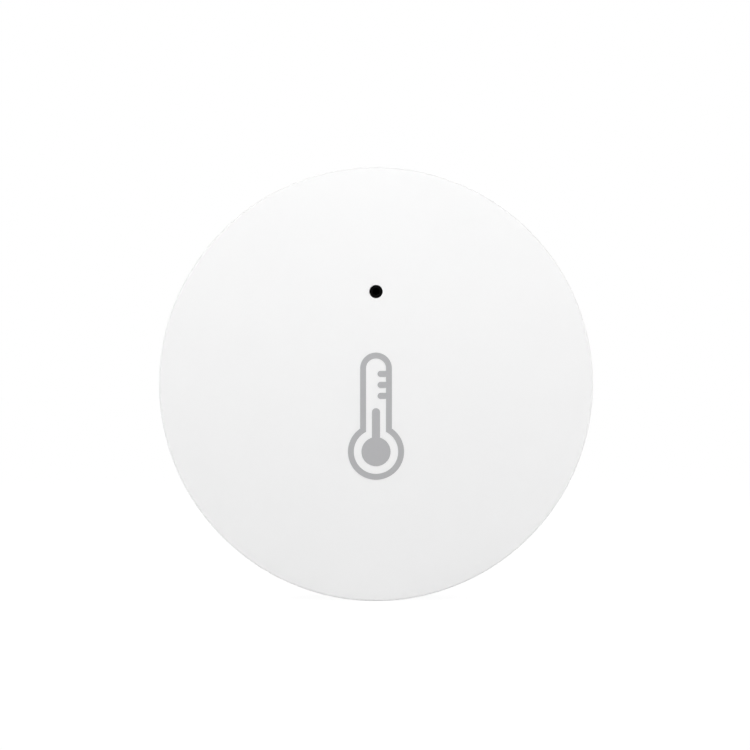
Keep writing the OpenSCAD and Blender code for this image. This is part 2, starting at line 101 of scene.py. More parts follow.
# Sizes of the body, from the frame
SEAM_Z, FRONT_Z = depth("front_shell")
BODY_R = across("front_shell")[1]
PLATE_Z0, WELL_FLOOR_Z = depth("back_shell")
PLATE_R = across("back_shell")[1]
COVER_Z0, LUG_Z1 = depth("battery_cover")
COVER_R = across("battery_cover")[1]
BOARD_Z0, BOARD_Z1 = depth("circuit_board")
BOARD_R = across("circuit_board")[1]
CELL_Z0, CELL_RIM_Z = depth("cell_can")
CELL_R = across("cell_can")[1]
CELL_Z1 = depth("cell_cap")[1]
PORT_Y = middle("port_mesh")[1]
BUTTON_Z = sum(depth("reset_button")) / 2

# Shape of the moulded shells, in mm
WALL = 1.3
CROWN = 0.5
EDGE_R = 0.2
RIM_R = 0.2
BORE_R = BODY_R - WALL
DOME_R = (BODY_R ** 2 + CROWN ** 2) / (2 * CROWN)
DOME_Z = FRONT_Z - DOME_R
SCREWS = 3
SCREW_ANGLE = 30
SCREW_INSET = 1.8
SCREW_PLACE = (BOARD_R - SCREW_INSET, SCREW_ANGLE)
PORT_R = 0.55
TOP_ANGLE = 90

# How far an added form runs into its base, and how far a cutter stands out of it
BITE = 0.3
BEYOND = 1.0

# How finely round things are drawn, in steps a turn, and how near two points are one
ROUND = 240
SLEEVE_ROUND = 96
PORT_ROUND = 64
HOLE_ROUND = 48
PIN_ROUND = 32
TINY = 1e-4

# Angle to which a lip's arc is drawn: short of 90 degrees, so that its cutter leaves the surface at a slope
LIP_TURN = 75


# Small tools

def linear(code):
    """Linear colour of an sRGB hex code."""
    parts = [int(code[i:i + 2], 16) / 255 for i in (1, 3, 5)]
    return (*[p / 12.92 if p <= 0.04045 else ((p + 0.055) / 1.055) ** 2.4 for p in parts], 1.0)


def add(tree, kind, inputs=None, **settings):
    """Adds a node to a tree. Settings are its own choices. Inputs are values to set, sockets to link,
    or nodes whose first output is linked.
    """
    node = tree.nodes.new(kind)
    for name, value in settings.items():
        setattr(node, name, value)
    for name, value in (inputs or {}).items():
        if isinstance(value, bpy.types.Node):
            value = value.outputs[0]
        if isinstance(value, bpy.types.NodeSocket):
            tree.links.new(value, node.inputs[name])
        else:
            node.inputs[name].default_value = value
    return node


def maths(tree, operation, *values):
    """Adds a maths node that works on values, sockets or nodes."""
    return add(tree, "ShaderNodeMath", dict(enumerate(values)), operation=operation)


def arc(x, y, r, start, end, steps):
    """Points of an arc, angles in degrees."""
    angles = [math.radians(start + (end - start) * i / steps) for i in range(steps + 1)]
    return [(x + r * math.cos(a), y + r * math.sin(a)) for a in angles]


def eased(x, y, r, start, steps):
    """Arc that rounds an outline's corner at x, y: a quarter turn from 0, 90, 180 or 270 degrees."""
    to_side = -r if start in (0, 270) else r
    to_top = -r if start in (0, 90) else r
    return arc(x + to_side, y + to_top, r, start, start + 90, steps)


def line(start, end, steps):
    """Points of a straight line."""
    return [tuple(Vector(start).lerp(Vector(end), i / steps)) for i in range(steps + 1)]


def distinct(points):
    """A loop of points without those that repeat the one before."""
    return [p for p, q in zip(points, points[-1:] + points[:-1]) if math.dist(p, q) > TINY]


def rounded(w, h, r, corner_steps=8, side_steps=10):
    """Points round a rectangle with rounded corners, about the middle."""
    points = []
    for x, y, start in ((1, -1, -90), (1, 1, 0), (-1, 1, 90), (-1, -1, 180)):
        corner = arc(x * (w / 2 - r), y * (h / 2 - r), r, start, start + 90, corner_steps)
        points += (line(points[-1], corner[0], side_steps)[1:-1] if points else []) + corner
    return points + line(points[-1], points[0], side_steps)[1:-1]


def on_circle(r, angle):
    """Place at a distance from the middle and an angle in degrees."""
    return r * math.cos(math.radians(angle)), r * math.sin(math.radians(angle))


def face_z(r, below=0.0):
    """Level of the domed face at a distance from the middle, or of a surface below it."""
    return DOME_Z + math.sqrt((DOME_R - below) ** 2 - r * r)


def plain(made):
    """Mesh of a finished bmesh, doubles merged and faces outwards."""
    bmesh.ops.remove_doubles(made, verts=made.verts, dist=TINY)
    bmesh.ops.recalc_face_normals(made, faces=made.faces)
    mesh = bpy.data.meshes.new("made")
    made.to_mesh(mesh)
    made.free()
    return mesh


def turned(outline, centre=(0, 0), steps=ROUND):
    """A closed outline of (radius, level) points, turned about a centre."""
    made = bmesh.new()
    rings = []
    for radius, level in outline:
        angles = [360 * i / steps for i in range(steps if radius > TINY else 1)]
        places = [on_circle(radius, a) for a in angles]
        rings.append([made.verts.new((centre[0] + x, centre[1] + y, level)) for x, y in places])
    for one, two in zip(rings, rings[1:] + rings[:1]):
        for i in range(steps):
            j = i + 1
            corners = one[i % len(one)], one[j % len(one)], two[j % len(two)], two[i % len(two)]
            corners = list(dict.fromkeys(corners))
            if len(corners) > 2:
                made.faces.new(corners)
    return plain(made)


def lofted(rings, last_end=True):
    """A skin over rings of points, as many in each, with its ends closed."""
    made = bmesh.new()
    loops = [[made.verts.new(point) for point in ring] for ring in rings]
    for one, two in zip(loops, loops[1:]):
        for i in range(len(one)):
            j = (i + 1) % len(one)
            made.faces.new((one[i], one[j], two[j], two[i]))
    made.faces.new(loops[0])
    if last_end:
        made.faces.new(loops[-1])
    return plain(made)


def washer(r_in, r_out, low, high, centre=(0, 0), steps=ROUND):
    """A ring between two radii and two levels, or a disc where the inner radius is 0."""
    return turned([(r_in, low), (r_out, low), (r_out, high), (r_in, high)], centre, steps)


def prism(loop, *levels):
    """A loop of points, drawn out from level to level."""
    return lofted([[(x, y, z) for x, y in loop] for z in levels])


def stacked(centre, corner, *stations):
    """A skin over rounded rectangles about a centre, each of (width, height, level)."""
    rings = []
    for w, h, z in stations:
        rings.append([(centre[0] + x, centre[1] + y, z) for x, y in rounded(w, h, corner)])
    return lofted(rings)


def sector(r_in, r_out, stations, high):
    """A block between two radii that follows stations of (angle, function of radius for its low side)."""
    rings = []
    for angle, low in stations:
        corners = (r_in, low(r_in)), (r_out, low(r_out)), (r_out, high), (r_in, high)
        rings.append([(*on_circle(r, angle), z) for r, z in corners])
    return lofted(rings)


def steps_between(start, end, step=1.5):
    """Even steps from one angle to another, both included."""
    count = math.ceil((end - start) / step)
    return [start + (end - start) * i / count for i in range(count + 1)]


def block(x0, x1, y0, y1, z0, z1, soft=0.0, turn=0.0):
    """A block between six sides, its edges rounded by soft, turned about the middle."""
    made = bmesh.new()
    bmesh.ops.create_cube(made, size=1)
    size = Matrix.Diagonal((x1 - x0, y1 - y0, z1 - z0, 1))
    place = Matrix.Translation(((x0 + x1) / 2, (y0 + y1) / 2, (z0 + z1) / 2))
    made.transform(Matrix.Rotation(math.radians(turn), 4, "Z") @ place @ size)
    if soft:
        bmesh.ops.bevel(made, geom=made.edges, offset=soft, segments=3, profile=0.5, affect="EDGES")
    return plain(made)


def strip(path, thickness, y0, y1):
    """A bent strip of sheet between two sides, along a path of (x, z) points on its middle."""
    one, two = [], []
    for i, (x, z) in enumerate(path):
        before, after = path[max(i - 1, 0)], path[min(i + 1, len(path) - 1)]
        along = (Vector(after) - Vector(before)).normalized() * thickness / 2
        one.append((x - along.y, z + along.x))
        two.append((x + along.y, z - along.x))
    outline = one + two[::-1]
    return lofted([[(x, y, z) for x, z in outline] for y in (y0, y1)])


def joined(*meshes):
    """Several meshes as one."""
    made = bmesh.new()
    for mesh in meshes:
        made.from_mesh(mesh)
    mesh = bpy.data.meshes.new("joined")
    made.to_mesh(mesh)
    made.free()
    return mesh


def both_ends(left, right, length, *sides, soft):
    """Two like blocks at the left and right end of a span, between the same other four sides."""
    return joined(block(left, left + length, *sides, soft=soft),
                  block(right - length, right, *sides, soft=soft))


def on_bench(mesh):
    """A helper object for a mesh."""
    helper = bpy.data.objects.new("helper", mesh)
    bpy.context.scene.collection.objects.link(helper)
    return helper


def settled(helper):
    """Plain mesh of a helper object with its modifiers, which then is removed."""
    bpy.context.view_layer.update()
    seen = helper.evaluated_get(bpy.context.evaluated_depsgraph_get())
    mesh = bpy.data.meshes.new_from_object(seen)
    bpy.data.objects.remove(helper)
    return mesh


def carved(mesh, added=(), cut=()):
    """A mesh after others are added to it, and then others are cut from it."""
    blank = on_bench(mesh)
    tools = []
    for operation, other in [("UNION", m) for m in added] + [("DIFFERENCE", m) for m in cut]:
        tools.append(on_bench(other))
        change = blank.modifiers.new("carve", "BOOLEAN")
        change.operation = operation
        change.solver = "EXACT"
        change.object = tools[-1]
    result = settled(blank)
    for tool in tools:
        bpy.data.objects.remove(tool)
    return result


def grown(name, mesh, material, sizes, build):
    """Mesh that a Geometry Nodes tree makes from a mesh and named sizes. build gives the tree's last node."""
    tree = bpy.data.node_groups.new(name, "GeometryNodeTree")
    tree.interface.new_socket("Geometry", in_out="INPUT", socket_type="NodeSocketGeometry")
    tree.interface.new_socket("Geometry", in_out="OUTPUT", socket_type="NodeSocketGeometry")
    helper = on_bench(mesh)
    change = helper.modifiers.new(name, "NODES")
    for size, value in sizes.items():
        kind = "NodeSocketInt" if isinstance(value, int) else "NodeSocketFloat"
        tree.interface.new_socket(size, in_out="INPUT", socket_type=kind)
    given = add(tree, "NodeGroupInput").outputs
    real = add(tree, "GeometryNodeRealizeInstances", {"Geometry": build(tree, given)})
    painted = add(tree, "GeometryNodeSetMaterial", {"Geometry": real, "Material": material})
    add(tree, "NodeGroupOutput", {"Geometry": painted})
    change.node_group = tree
    for socket in tree.interface.items_tree:
        if socket.in_out == "INPUT" and socket.name in sizes:
            change[socket.identifier] = sizes[socket.name]
    return settled(helper)


def round_copies(tree, given):
    """The mesh, turned about the middle in even steps."""
    index = add(tree, "GeometryNodeInputIndex")
    angle = maths(tree, "MULTIPLY", index, given["Step"])
    spin = add(tree, "ShaderNodeCombineXYZ", {"Z": angle})
    places = add(tree, "GeometryNodeMeshLine", {"Count": given["Count"], "Offset": (0, 0, 0)})
    return add(tree, "GeometryNodeInstanceOnPoints", {"Points": places,
               "Instance": given["Geometry"], "Rotation": spin})


def around(name, mesh, material, count):
    """A mesh and its copies, evenly spaced about the middle."""
    return grown(name, mesh, material, {"Count": count, "Step": math.tau / count}, round_copies)


def piece(node, *layers, sharp=35):
    """One object that stands for a node, of layers of (mesh, material)."""
    made = bmesh.new()
    for index, (mesh, material) in enumerate(layers):
        done = len(made.faces)
        made.from_mesh(mesh)
        made.faces.ensure_lookup_table()
        for face in made.faces[done:]:
            face.material_index = index
    made.transform(STAND)
    mesh = bpy.data.meshes.new(node + "_made")
    made.to_mesh(mesh)
    made.free()
    for _, material in layers:
        mesh.materials.append(material)
    mesh.polygons.foreach_set("use_smooth", [True] * len(mesh.polygons))
    mesh.set_sharp_from_angle(angle=math.radians(sharp))
    helper = on_bench(mesh)
    normals = helper.modifiers.new("normals", "WEIGHTED_NORMAL")
    normals.keep_sharp = True
    shown = on_bench(settled(helper))
    shown.name = node + "_piece"
    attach(shown, BODY_OF[node])
    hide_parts(node)
    return shown


# Materials

# Length after which a wave pattern of scale 1 repeats
WAVE = math.tau / 20


def per_mm(size):
    """Scale of a pattern in Object coordinates whose features measure size mm."""
    return 1 / (size * MM)


def noise(tree, place, size, detail):
    """Even noise whose features measure size mm."""
    node = add(tree, "ShaderNodeTexNoise", {"Vector": place, "Scale": per_mm(size), "Detail": detail})
    return node.outputs["Fac"]


def finish(name, colour, roughness, ior=1.5, metallic=0.0):
    """A new material with its shader and its Object coordinates."""
    material = bpy.data.materials.new(name)
    material.use_nodes = True
    tree = material.node_tree
    shader = tree.nodes["Principled BSDF"]
    shader.inputs["Base Color"].default_value = linear(colour)
    shader.inputs["Roughness"].default_value = roughness
    shader.inputs["IOR"].default_value = ior
    shader.inputs["Metallic"].default_value = metallic
    place = add(tree, "ShaderNodeTexCoord").outputs["Object"]
    return material, tree, shader, place


def worked(tree, shader, pattern, colours=None, roughness=None, relief=None):
    """Lets a pattern carry a colour between two codes, a roughness between two values, or a relief in mm."""
    if colours:
        mix = add(tree, "ShaderNodeMix", {"Factor": pattern, 6: linear(colours[0]), 7: linear(colours[1])},
                  data_type="RGBA")
        tree.links.new(mix.outputs[2], shader.inputs["Base Color"])
    if roughness:
        low, high = roughness
        spread = add(tree, "ShaderNodeMapRange", {"Value": pattern, "To Min": low, "To Max": high})
        tree.links.new(spread.outputs["Result"], shader.inputs["Roughness"])
    if relief:
        bump = add(tree, "ShaderNodeBump", {"Height": pattern, "Distance": relief * MM, "Strength": 1.0})
        tree.links.new(bump.outputs["Normal"], shader.inputs["Normal"])


def grained(name, colours, roughness, size, relief=None, detail=3.0, ior=1.5):
    """Shared make of a surface with one even grain, its size in mm, between two colours and roughnesses."""
    material, tree, shader, place = finish(name, colours[1], sum(roughness) / 2, ior=ior)
    grain = noise(tree, place, size, detail)
    worked(tree, shader, grain, colours, roughness, relief)
    return material


def moulded_white_abs():
    """White ABS from a finely spark-eroded mould: an even satin white, its grain only just felt."""
    material, tree, shader, place = finish("moulded_white_abs", "#F3F3F3", 0.42, ior=1.53)
    grain = noise(tree, place, 0.15, 2.0)
    flow = noise(tree, place, 9, 1.0)
    worked(tree, shader, flow, colours=("#F2F2F2", "#F4F4F4"))
    worked(tree, shader, grain, roughness=(0.38, 0.48), relief=0.004)
    return material


def eroded_white_abs():
    """White ABS from a coarsely spark-eroded mould: a matt back with a grain that the light picks up."""
    material, tree, shader, place = finish("eroded_white_abs", "#EDEDEC", 0.6, ior=1.53)
    grain = add(tree, "ShaderNodeTexVoronoi", {"Vector": place, "Scale": per_mm(0.16)})
    cloud = noise(tree, place, 6, 3.0)
    worked(tree, shader, cloud, colours=("#EAEAE9", "#EFEFEE"))
    worked(tree, shader, grain.outputs["Distance"], roughness=(0.52, 0.7), relief=0.012)
    return material


def printed_grey_ink():
    """Grey two-part ink from a printing pad: flat and matt, with the faint mottle of the pad."""
    return grained("printed_grey_ink", ("#AEAEB0", "#B2B2B4"), (0.5, 0.62), 0.3, 0.002)


def moulded_black_silicone():
    """Black silicone rubber from a blasted mould: it swallows the light and hardly shines."""
    material, tree, shader, place = finish("moulded_black_silicone", "#050505", 0.85, ior=1.41)
    shader.inputs["Specular IOR Level"].default_value = 0.08
    grain = noise(tree, place, 0.08, 2.0)
    worked(tree, shader, grain, colours=("#030303", "#070707"), relief=0.004)
    return material


def woven_black_polyester():
    """Black polyester thread of an air-open dust mesh: smooth round threads with a soft sheen."""
    return grained("woven_black_polyester", ("#161618", "#222225"), (0.42, 0.58), 0.03, detail=1.0, ior=1.57)


def cut_white_foam():
    """White acrylic foam tape, die-cut: pale, with the closed cells that the cut opens."""
    material, tree, shader, place = finish("cut_white_foam", "#E6E4E0", 0.75, ior=1.48)
    cells = add(tree, "ShaderNodeTexVoronoi", {"Vector": place, "Scale": per_mm(0.22)})
    cloud = noise(tree, place, 2.5, 2.0)
    worked(tree, shader, cloud, colours=("#DFDDD9", "#EAE8E4"))
    worked(tree, shader, cells.outputs["Distance"], roughness=(0.65, 0.85), relief=0.03)
    return material


def coated_adhesive():
    """Clear acrylic adhesive coated on the foam: a tacky film, a little glossy and faintly wavy."""
    return grained("coated_adhesive", ("#DDDBD6", "#E7E5E1"), (0.28, 0.42), 1.2, 0.03, detail=2.0, ior=1.47)


def green_solder_mask():
    """Green solder mask over glass cloth: glossy, and the cloth's weave shows through as a faint relief."""
    material, tree, shader, place = finish("green_solder_mask", "#1D5939", 0.32, ior=1.55)
    thread = 0.45
    bands = []
    for direction in ("X", "Z"):
        bands.append(add(tree, "ShaderNodeTexWave", {"Vector": place, "Scale": WAVE * per_mm(thread)},
                         bands_direction=direction).outputs["Fac"])
    cloth = maths(tree, "MULTIPLY", bands[0], bands[1])
    worked(tree, shader, cloth, colours=("#1C5638", "#1F5D3C"), relief=0.003)
    return material


def mask_over_copper():
    """Green solder mask over a copper track: lighter than over the cloth, and smooth."""
    return grained("mask_over_copper", ("#29754A", "#2E7F52"), (0.25, 0.32), 0.6, detail=2.0, ior=1.55)


def routed_glass_laminate():
    """Edge of glass-epoxy board, milled: straw yellow, with the layers of cloth as fine lines."""
    material, tree, shader, place = finish("routed_glass_laminate", "#B9AE7C", 0.7, ior=1.55)
    layers = add(tree, "ShaderNodeTexWave", {"Vector": place, "Scale": WAVE * per_mm(0.2)},
                 bands_direction="Y")
    worked(tree, shader, layers.outputs["Fac"], colours=("#A89C69", "#C6BC8C"), roughness=(0.6, 0.8))
    return material


def bare_metal(name, dark, light, roughness, grain, relief):
    """Shared make of a metal whose grain has its own size along x, y and z, in mm."""
    material, tree, shader, place = finish(name, light, roughness, metallic=1.0)
    drawn = add(tree, "ShaderNodeMapping", {"Vector": place, "Scale": [per_mm(size) for size in grain]})
    marks = add(tree, "ShaderNodeTexNoise", {"Vector": drawn, "Scale": 1.0, "Detail": 3.0})
    worked(tree, shader, marks.outputs["Fac"], colours=(dark, light), roughness=(roughness, roughness + 0.1),
           relief=relief)
    return material


def zinc_plated_steel():
    """Steel screws, barrel-plated with bright zinc: a cool grey with the dents of the barrel."""
    return bare_metal("zinc_plated_steel", "#B8BABE", "#C4C6CA", 0.28, (0.2, 0.2, 0.2), 0.004)


def nickel_plated_lid():
    """Nickel-plated iron lid, rolled and stamped: a warm grey with a fine grain one way."""
    return bare_metal("nickel_plated_lid", "#C3BDB2", "#CDC7BC", 0.28, (1.5, 0.05, 0.05), 0.0006)


def rolled_phosphor_bronze():
    """Phosphor bronze strip, rolled and bent: warm gold. Its rolling lines are drawn coarse, to show."""
    return bare_metal("rolled_phosphor_bronze", "#C09A56", "#CBA460", 0.28, (4, 4, 0.07), 0.0006)


def dull_tin():
    """Tin on the solder ends of the parts: pale grey and dull, with the grain that it cools to."""
    return bare_metal("dull_tin", "#BDBDBA", "#CACAC7", 0.4, (0.12, 0.12, 0.12), 0.003)


def immersion_gold():
    """Copper with a flash of gold: the aerial and the bare rings, fine-grained and bright."""
    return bare_metal("immersion_gold", "#CE9C54", "#D9A860", 0.32, (0.06, 0.06, 0.06), 0.001)


def drawn_cell_steel():
    """Stainless steel of the cell, deep-drawn: bright. The punch's rings are drawn coarse, to show."""
    material, tree, shader, place = finish("drawn_cell_steel", "#C9C9CB", 0.26, metallic=1.0)
    rings = add(tree, "ShaderNodeTexWave", {"Vector": place, "Scale": WAVE * per_mm(0.16), "Distortion": 2.0,
                "Detail": 3.0}, wave_type="RINGS", rings_direction="Y")
    worked(tree, shader, rings.outputs["Fac"], colours=("#C5C5C7", "#CBCBCD"), roughness=(0.24, 0.31),
           relief=0.0004)
    return material


def moulded_black_epoxy():
    """Black epoxy of the chips, moulded and sand-blasted: near black and matt, with silica grit."""
    return grained("moulded_black_epoxy", ("#1A1A1B", "#262628"), (0.54, 0.7), 0.06, 0.006, ior=1.55)


def fired_brown_ceramic():
    """Brown barium titanate of the small capacitors, fired: dull, with fine speckle."""
    return grained("fired_brown_ceramic", ("#7B5F45", "#92745A"), (0.52, 0.68), 0.05, 0.003, ior=1.7)


def fired_dark_ceramic():
    """Dark alumina base of the crystal, fired: grey-brown and dull."""
    return grained("fired_dark_ceramic", ("#3B3430", "#4A423D"), (0.54, 0.7), 0.06, 0.004, ior=1.7)


def moulded_white_resin():
    """White heat-proof resin of the lamp's frame, moulded: chalky white."""
    return grained("moulded_white_resin", ("#E6E6E0", "#EFEFEA"), (0.47, 0.63), 0.06, 0.003)


def moulded_black_nylon():
    """Black glass-filled nylon of the switch, moulded: dark and satin, with short fibres at the skin."""
    return grained("moulded_black_nylon", ("#28282B", "#35353A"), (0.42, 0.58), 0.09, 0.006, ior=1.53)


def moulded_pale_nylon():
    """Pale nylon of the switch's plunger, moulded: milky grey and a little waxy."""
    return grained("moulded_pale_nylon", ("#CDCDCB", "#DADAD8"), (0.34, 0.5), 0.12, 0.003, ior=1.53)


def moulded_grey_gasket():
    """Polypropylene gasket of the cell, moulded and crimped: dark grey and waxy."""
    return grained("moulded_grey_gasket", ("#424245", "#4F4F53"), (0.4, 0.56), 0.1, 0.004, ior=1.49)


def pressed_black_pellet():
    """Manganese dioxide with carbon, pressed to a pellet: sooty black with open grain."""
    return grained("pressed_black_pellet", ("#1B1B1D", "#2C2C2E"), (0.77, 0.93), 0.12, 0.03, ior=1.6)


def cast_clear_resin():
    """Clear epoxy cast over the lamp's die: glossy, a little milky."""
    material, tree, shader, place = finish("cast_clear_resin", "#E4EBF5", 0.12, ior=1.54)
    shader.inputs["Transmission Weight"].default_value = 0.6
    haze = noise(tree, place, 0.2, 1.0)
    worked(tree, shader, haze, roughness=(0.08, 0.18))
    return material


WHITE_ABS = moulded_white_abs()
BACK_ABS = eroded_white_abs()
EPOXY = moulded_black_epoxy()
TIN = dull_tin()
BRONZE = rolled_phosphor_bronze()
CELL_STEEL = drawn_cell_steel()
GOLD = immersion_gold()


# Front

BUTTON_W = 4.6
BUTTON_H = 1.7
BUTTON_FIT = 0.1
BUTTON_FACE_R = upward("reset_button")[1]
FLANGE_R = BORE_R - BUTTON_FIT
FLANGE_Y = 15.85

# Snap groove, screw bosses, the sleeve's seat and the lamp's pocket
CATCH_LOW = 1.3
CATCH_HIGH = 2.7
CATCH_DEPTH = 0.35
POST_R = 1.5
POST_SOFT = 0.1
PILOT_R = 0.62
SEAT_R = 2.1
SEAT_RISE = 0.2
SLEEVE_FLANGE = 0.5
SLEEVE_FIT = 0.03
LAMP_POCKET_R = 1.1
LAMP_WINDOW = 0.5


def rim_ring(w, h, corner, surface_r=None, below=0.0, y=None):
    """A rounded outline round the button's middle, pushed out to a level y or to a round surface."""
    ring = []
    for x, z in rounded(w, h, corner):
        out = y if surface_r is None else math.sqrt(surface_r ** 2 - x * x) - below
        ring.append((x, out, BUTTON_Z + z))
    return ring


def pill_ring(grow, **place):
    """Outline of the button, made larger all round."""
    h = BUTTON_H + 2 * grow
    return rim_ring(BUTTON_W + 2 * grow, h, h / 2, **place)


def button_opening():
    """Cutter of the button's opening, with a soft lip that follows the side of the body."""
    lip = 0.15
    rings = [pill_ring(BUTTON_FIT, y=BORE_R - BEYOND)]
    for x, y in arc(0, 0, lip, 0, LIP_TURN, 5):
        rings.append(pill_ring(BUTTON_FIT + lip - x, surface_r=BODY_R, below=lip - y))
    rings.append(pill_ring(BUTTON_FIT + 2 * lip, surface_r=BODY_R, below=-lip))
    rings.append(pill_ring(BUTTON_FIT + 2 * lip, surface_r=BODY_R, below=-BEYOND))
    return lofted(rings)


def port_opening():
    """Cutter of the air port: its soft lip, its bore and the bed of the sleeve's flange."""
    lip = 0.05
    mouth_r = PORT_R + 3 * lip
    top = face_z(PORT_Y)
    bed_z = depth("port_mesh")[1] + SLEEVE_FLANGE
    bed_r = across("port_sleeve")[1] + SLEEVE_FIT
    outline = [(0, top + BEYOND), (mouth_r, top + BEYOND), (mouth_r, top + lip)]
    outline += [(PORT_R + lip - x, top - lip + y) for x, y in arc(0, 0, lip, LIP_TURN, 0, 6)]
    outline += [(PORT_R, bed_z), (bed_r, bed_z), (bed_r, bed_z - BEYOND), (0, bed_z - BEYOND)]
    return turned(outline, (0, PORT_Y), PORT_ROUND)


def cup_outline():
    """Half section of the front: crowned face, rounded edge, side wall and snap groove."""
    edge_z = DOME_Z + math.sqrt((DOME_R - EDGE_R) ** 2 - (BODY_R - EDGE_R) ** 2)
    dome_start = math.degrees(math.atan2(edge_z - DOME_Z, BODY_R - EDGE_R))
    inner_start = math.degrees(math.acos(BORE_R / (DOME_R - WALL)))
    catch_r = BORE_R + CATCH_DEPTH
    catch_z0, catch_z1 = SEAM_Z + CATCH_LOW, SEAM_Z + CATCH_HIGH
    outline = [(BORE_R, SEAM_Z)]
    outline += eased(BODY_R, SEAM_Z, RIM_R, 270, 6)
    outline += arc(BODY_R - EDGE_R, edge_z, EDGE_R, 0, dome_start, 12)
    outline += arc(0, DOME_Z, DOME_R, dome_start, 90, 36)[1:]
    outline += arc(0, DOME_Z, DOME_R - WALL, 90, inner_start, 18)
    outline += [(BORE_R, catch_z1), (catch_r, catch_z1), (catch_r, catch_z0), (BORE_R, catch_z0)]
    return outline


def front_shell():
    """Moulded cup with its screw bosses, the sleeve's seat, the lamp's pocket and its openings."""
    screw = on_circle(*SCREW_PLACE)
    top = face_z(SCREW_PLACE[0], WALL) + BITE
    boss = [(0, BOARD_Z1), (POST_R - POST_SOFT, BOARD_Z1), (POST_R, BOARD_Z1 + POST_SOFT)]
    boss += [(POST_R, top), (0, top)]
    posts = [around("screw_posts", turned(boss, screw, HOLE_ROUND), WHITE_ABS, SCREWS)]
    seat_z = depth("port_mesh")[1] + SEAT_RISE
    posts.append(washer(0, SEAT_R, seat_z, face_z(PORT_Y, WALL) + BITE, (0, PORT_Y), PORT_ROUND))
    pilot = washer(0, PILOT_R, BOARD_Z1 - BEYOND, top, screw, PIN_ROUND)
    holes = [button_opening(), port_opening(), around("pilot_holes", pilot, WHITE_ABS, SCREWS)]
    lamp = middle("status_led")
    window_z = face_z(math.hypot(*lamp)) - LAMP_WINDOW
    holes.append(washer(0, LAMP_POCKET_R, BOARD_Z1, window_z, lamp, HOLE_ROUND))
    mesh = carved(turned(cup_outline()), added=[joined(*posts)], cut=[joined(*holes)])
    return piece("front_shell", (mesh, WHITE_ABS))


def reset_button():
    """Moulded button: a pill with a soft edge that follows the side, a flange to keep it in, and a stem."""
    soft = 0.2
    face_insets = (0.35, 0.6, BUTTON_H / 2 - TINY / 10)
    flange_corner = 0.3
    stem_half_w, stem_half_h, stem_soft = 0.9, 0.45, 0.08
    rings = [pill_ring(0, y=FLANGE_Y)]
    for x, y in arc(0, 0, soft, 0, 90, 6):
        rings.append(pill_ring(x - soft, surface_r=BUTTON_FACE_R, below=soft - y))
    rings += [pill_ring(-inset, surface_r=BUTTON_FACE_R) for inset in face_insets]
    left, right = across("reset_button")
    back, front = depth("reset_button")
    flange = lofted([rim_ring(right - left, front - back, flange_corner, y=FLANGE_Y),
                     rim_ring(right - left, front - back, flange_corner, surface_r=FLANGE_R)])
    stem = block(-stem_half_w, stem_half_w, upward("reset_button")[0], FLANGE_Y + BITE,
                 BUTTON_Z - stem_half_h, BUTTON_Z + stem_half_h, soft=stem_soft)
    mesh = carved(lofted(rings, last_end=False), added=[flange, stem])
    return piece("reset_button", (mesh, WHITE_ABS))


# Thermometer pictogram

INK = 0.04
STROKE = 0.48
TUBE_W = 2.62
TUBE_TOP = upward("face_icon")[1]
BULB_R = across("face_icon")[1]
BULB_Y = upward("face_icon")[0] + BULB_R
CORE_R = 1.2
COLUMN_W = 0.66
COLUMN_TOP = -2.0
TICK_TOP = 0.84
TICK_PITCH = 0.91
TICK_L = 0.7
TICK_H = 0.5
TICKS = 3


def bulb_and_tube(half, bulb_r, top, right_side):
    """Loop round a bulb and the tube that rises from it. right_side gives the points up the tube's right."""
    meet = math.degrees(math.acos(half / bulb_r))
    meet_y = BULB_Y + math.sqrt(bulb_r ** 2 - half ** 2)
    loop = right_side((half, meet_y), (half, top - half))
    loop += arc(0, top - half, half, 0, 180, 32)
    loop += line((-half, top - half), (-half, meet_y), 16)
    loop += arc(0, BULB_Y, bulb_r, 180 - meet, 360 + meet, 72)
    return distinct(loop)


def plain_side(start, end):
    """Right side of a tube without marks."""
    return line(start, end, 16)


def marked_side(start, end):
    """Right side of the tube's inside, with the scale marks standing in from it."""
    points = [start]
    x = start[0]
    end_x = x - TICK_L + TICK_H / 2
    for i in reversed(range(TICKS)):
        y = TICK_TOP - i * TICK_PITCH
        points += line(points[-1], (x, y - TICK_H / 2), 4)
        points += arc(end_x, y, TICK_H / 2, 270, 90, 16)
        points.append((x, y + TICK_H / 2))
    return points + line(points[-1], end, 4)


def printed(loops):
    """A film of ink inside loops of points, laid on the domed face."""
    made = bmesh.new()
    points = [p for loop in loops for p in loop]
    low = [made.verts.new((x, y, face_z(math.hypot(x, y)))) for x, y in points]
    high = [made.verts.new((x, y, face_z(math.hypot(x, y)) + INK)) for x, y in points]
    for corners in tessellate_polygon([[Vector((x, y, 0)) for x, y in loop] for loop in loops]):
        made.faces.new([high[i] for i in corners])
        made.faces.new([low[i] for i in reversed(corners)])
    start = 0
    for loop in loops:
        for i in range(len(loop)):
            one, two = start + i, start + (i + 1) % len(loop)
            made.faces.new((low[one], low[two], high[two], high[one]))
        start += len(loop)
    return plain(made)


def face_icon():
    """Thermometer printed on the face: its outline with the scale marks, and the bulb with its column."""
    outer = bulb_and_tube(TUBE_W / 2, BULB_R, TUBE_TOP, plain_side)
    inner = bulb_and_tube(TUBE_W / 2 - STROKE, BULB_R - STROKE, TUBE_TOP - STROKE, marked_side)
    column = bulb_and_tube(COLUMN_W / 2, CORE_R, COLUMN_TOP, plain_side)
    mesh = joined(printed([outer, inner]), printed([column]))
    return piece("face_icon", (mesh, printed_grey_ink()))


# Air port

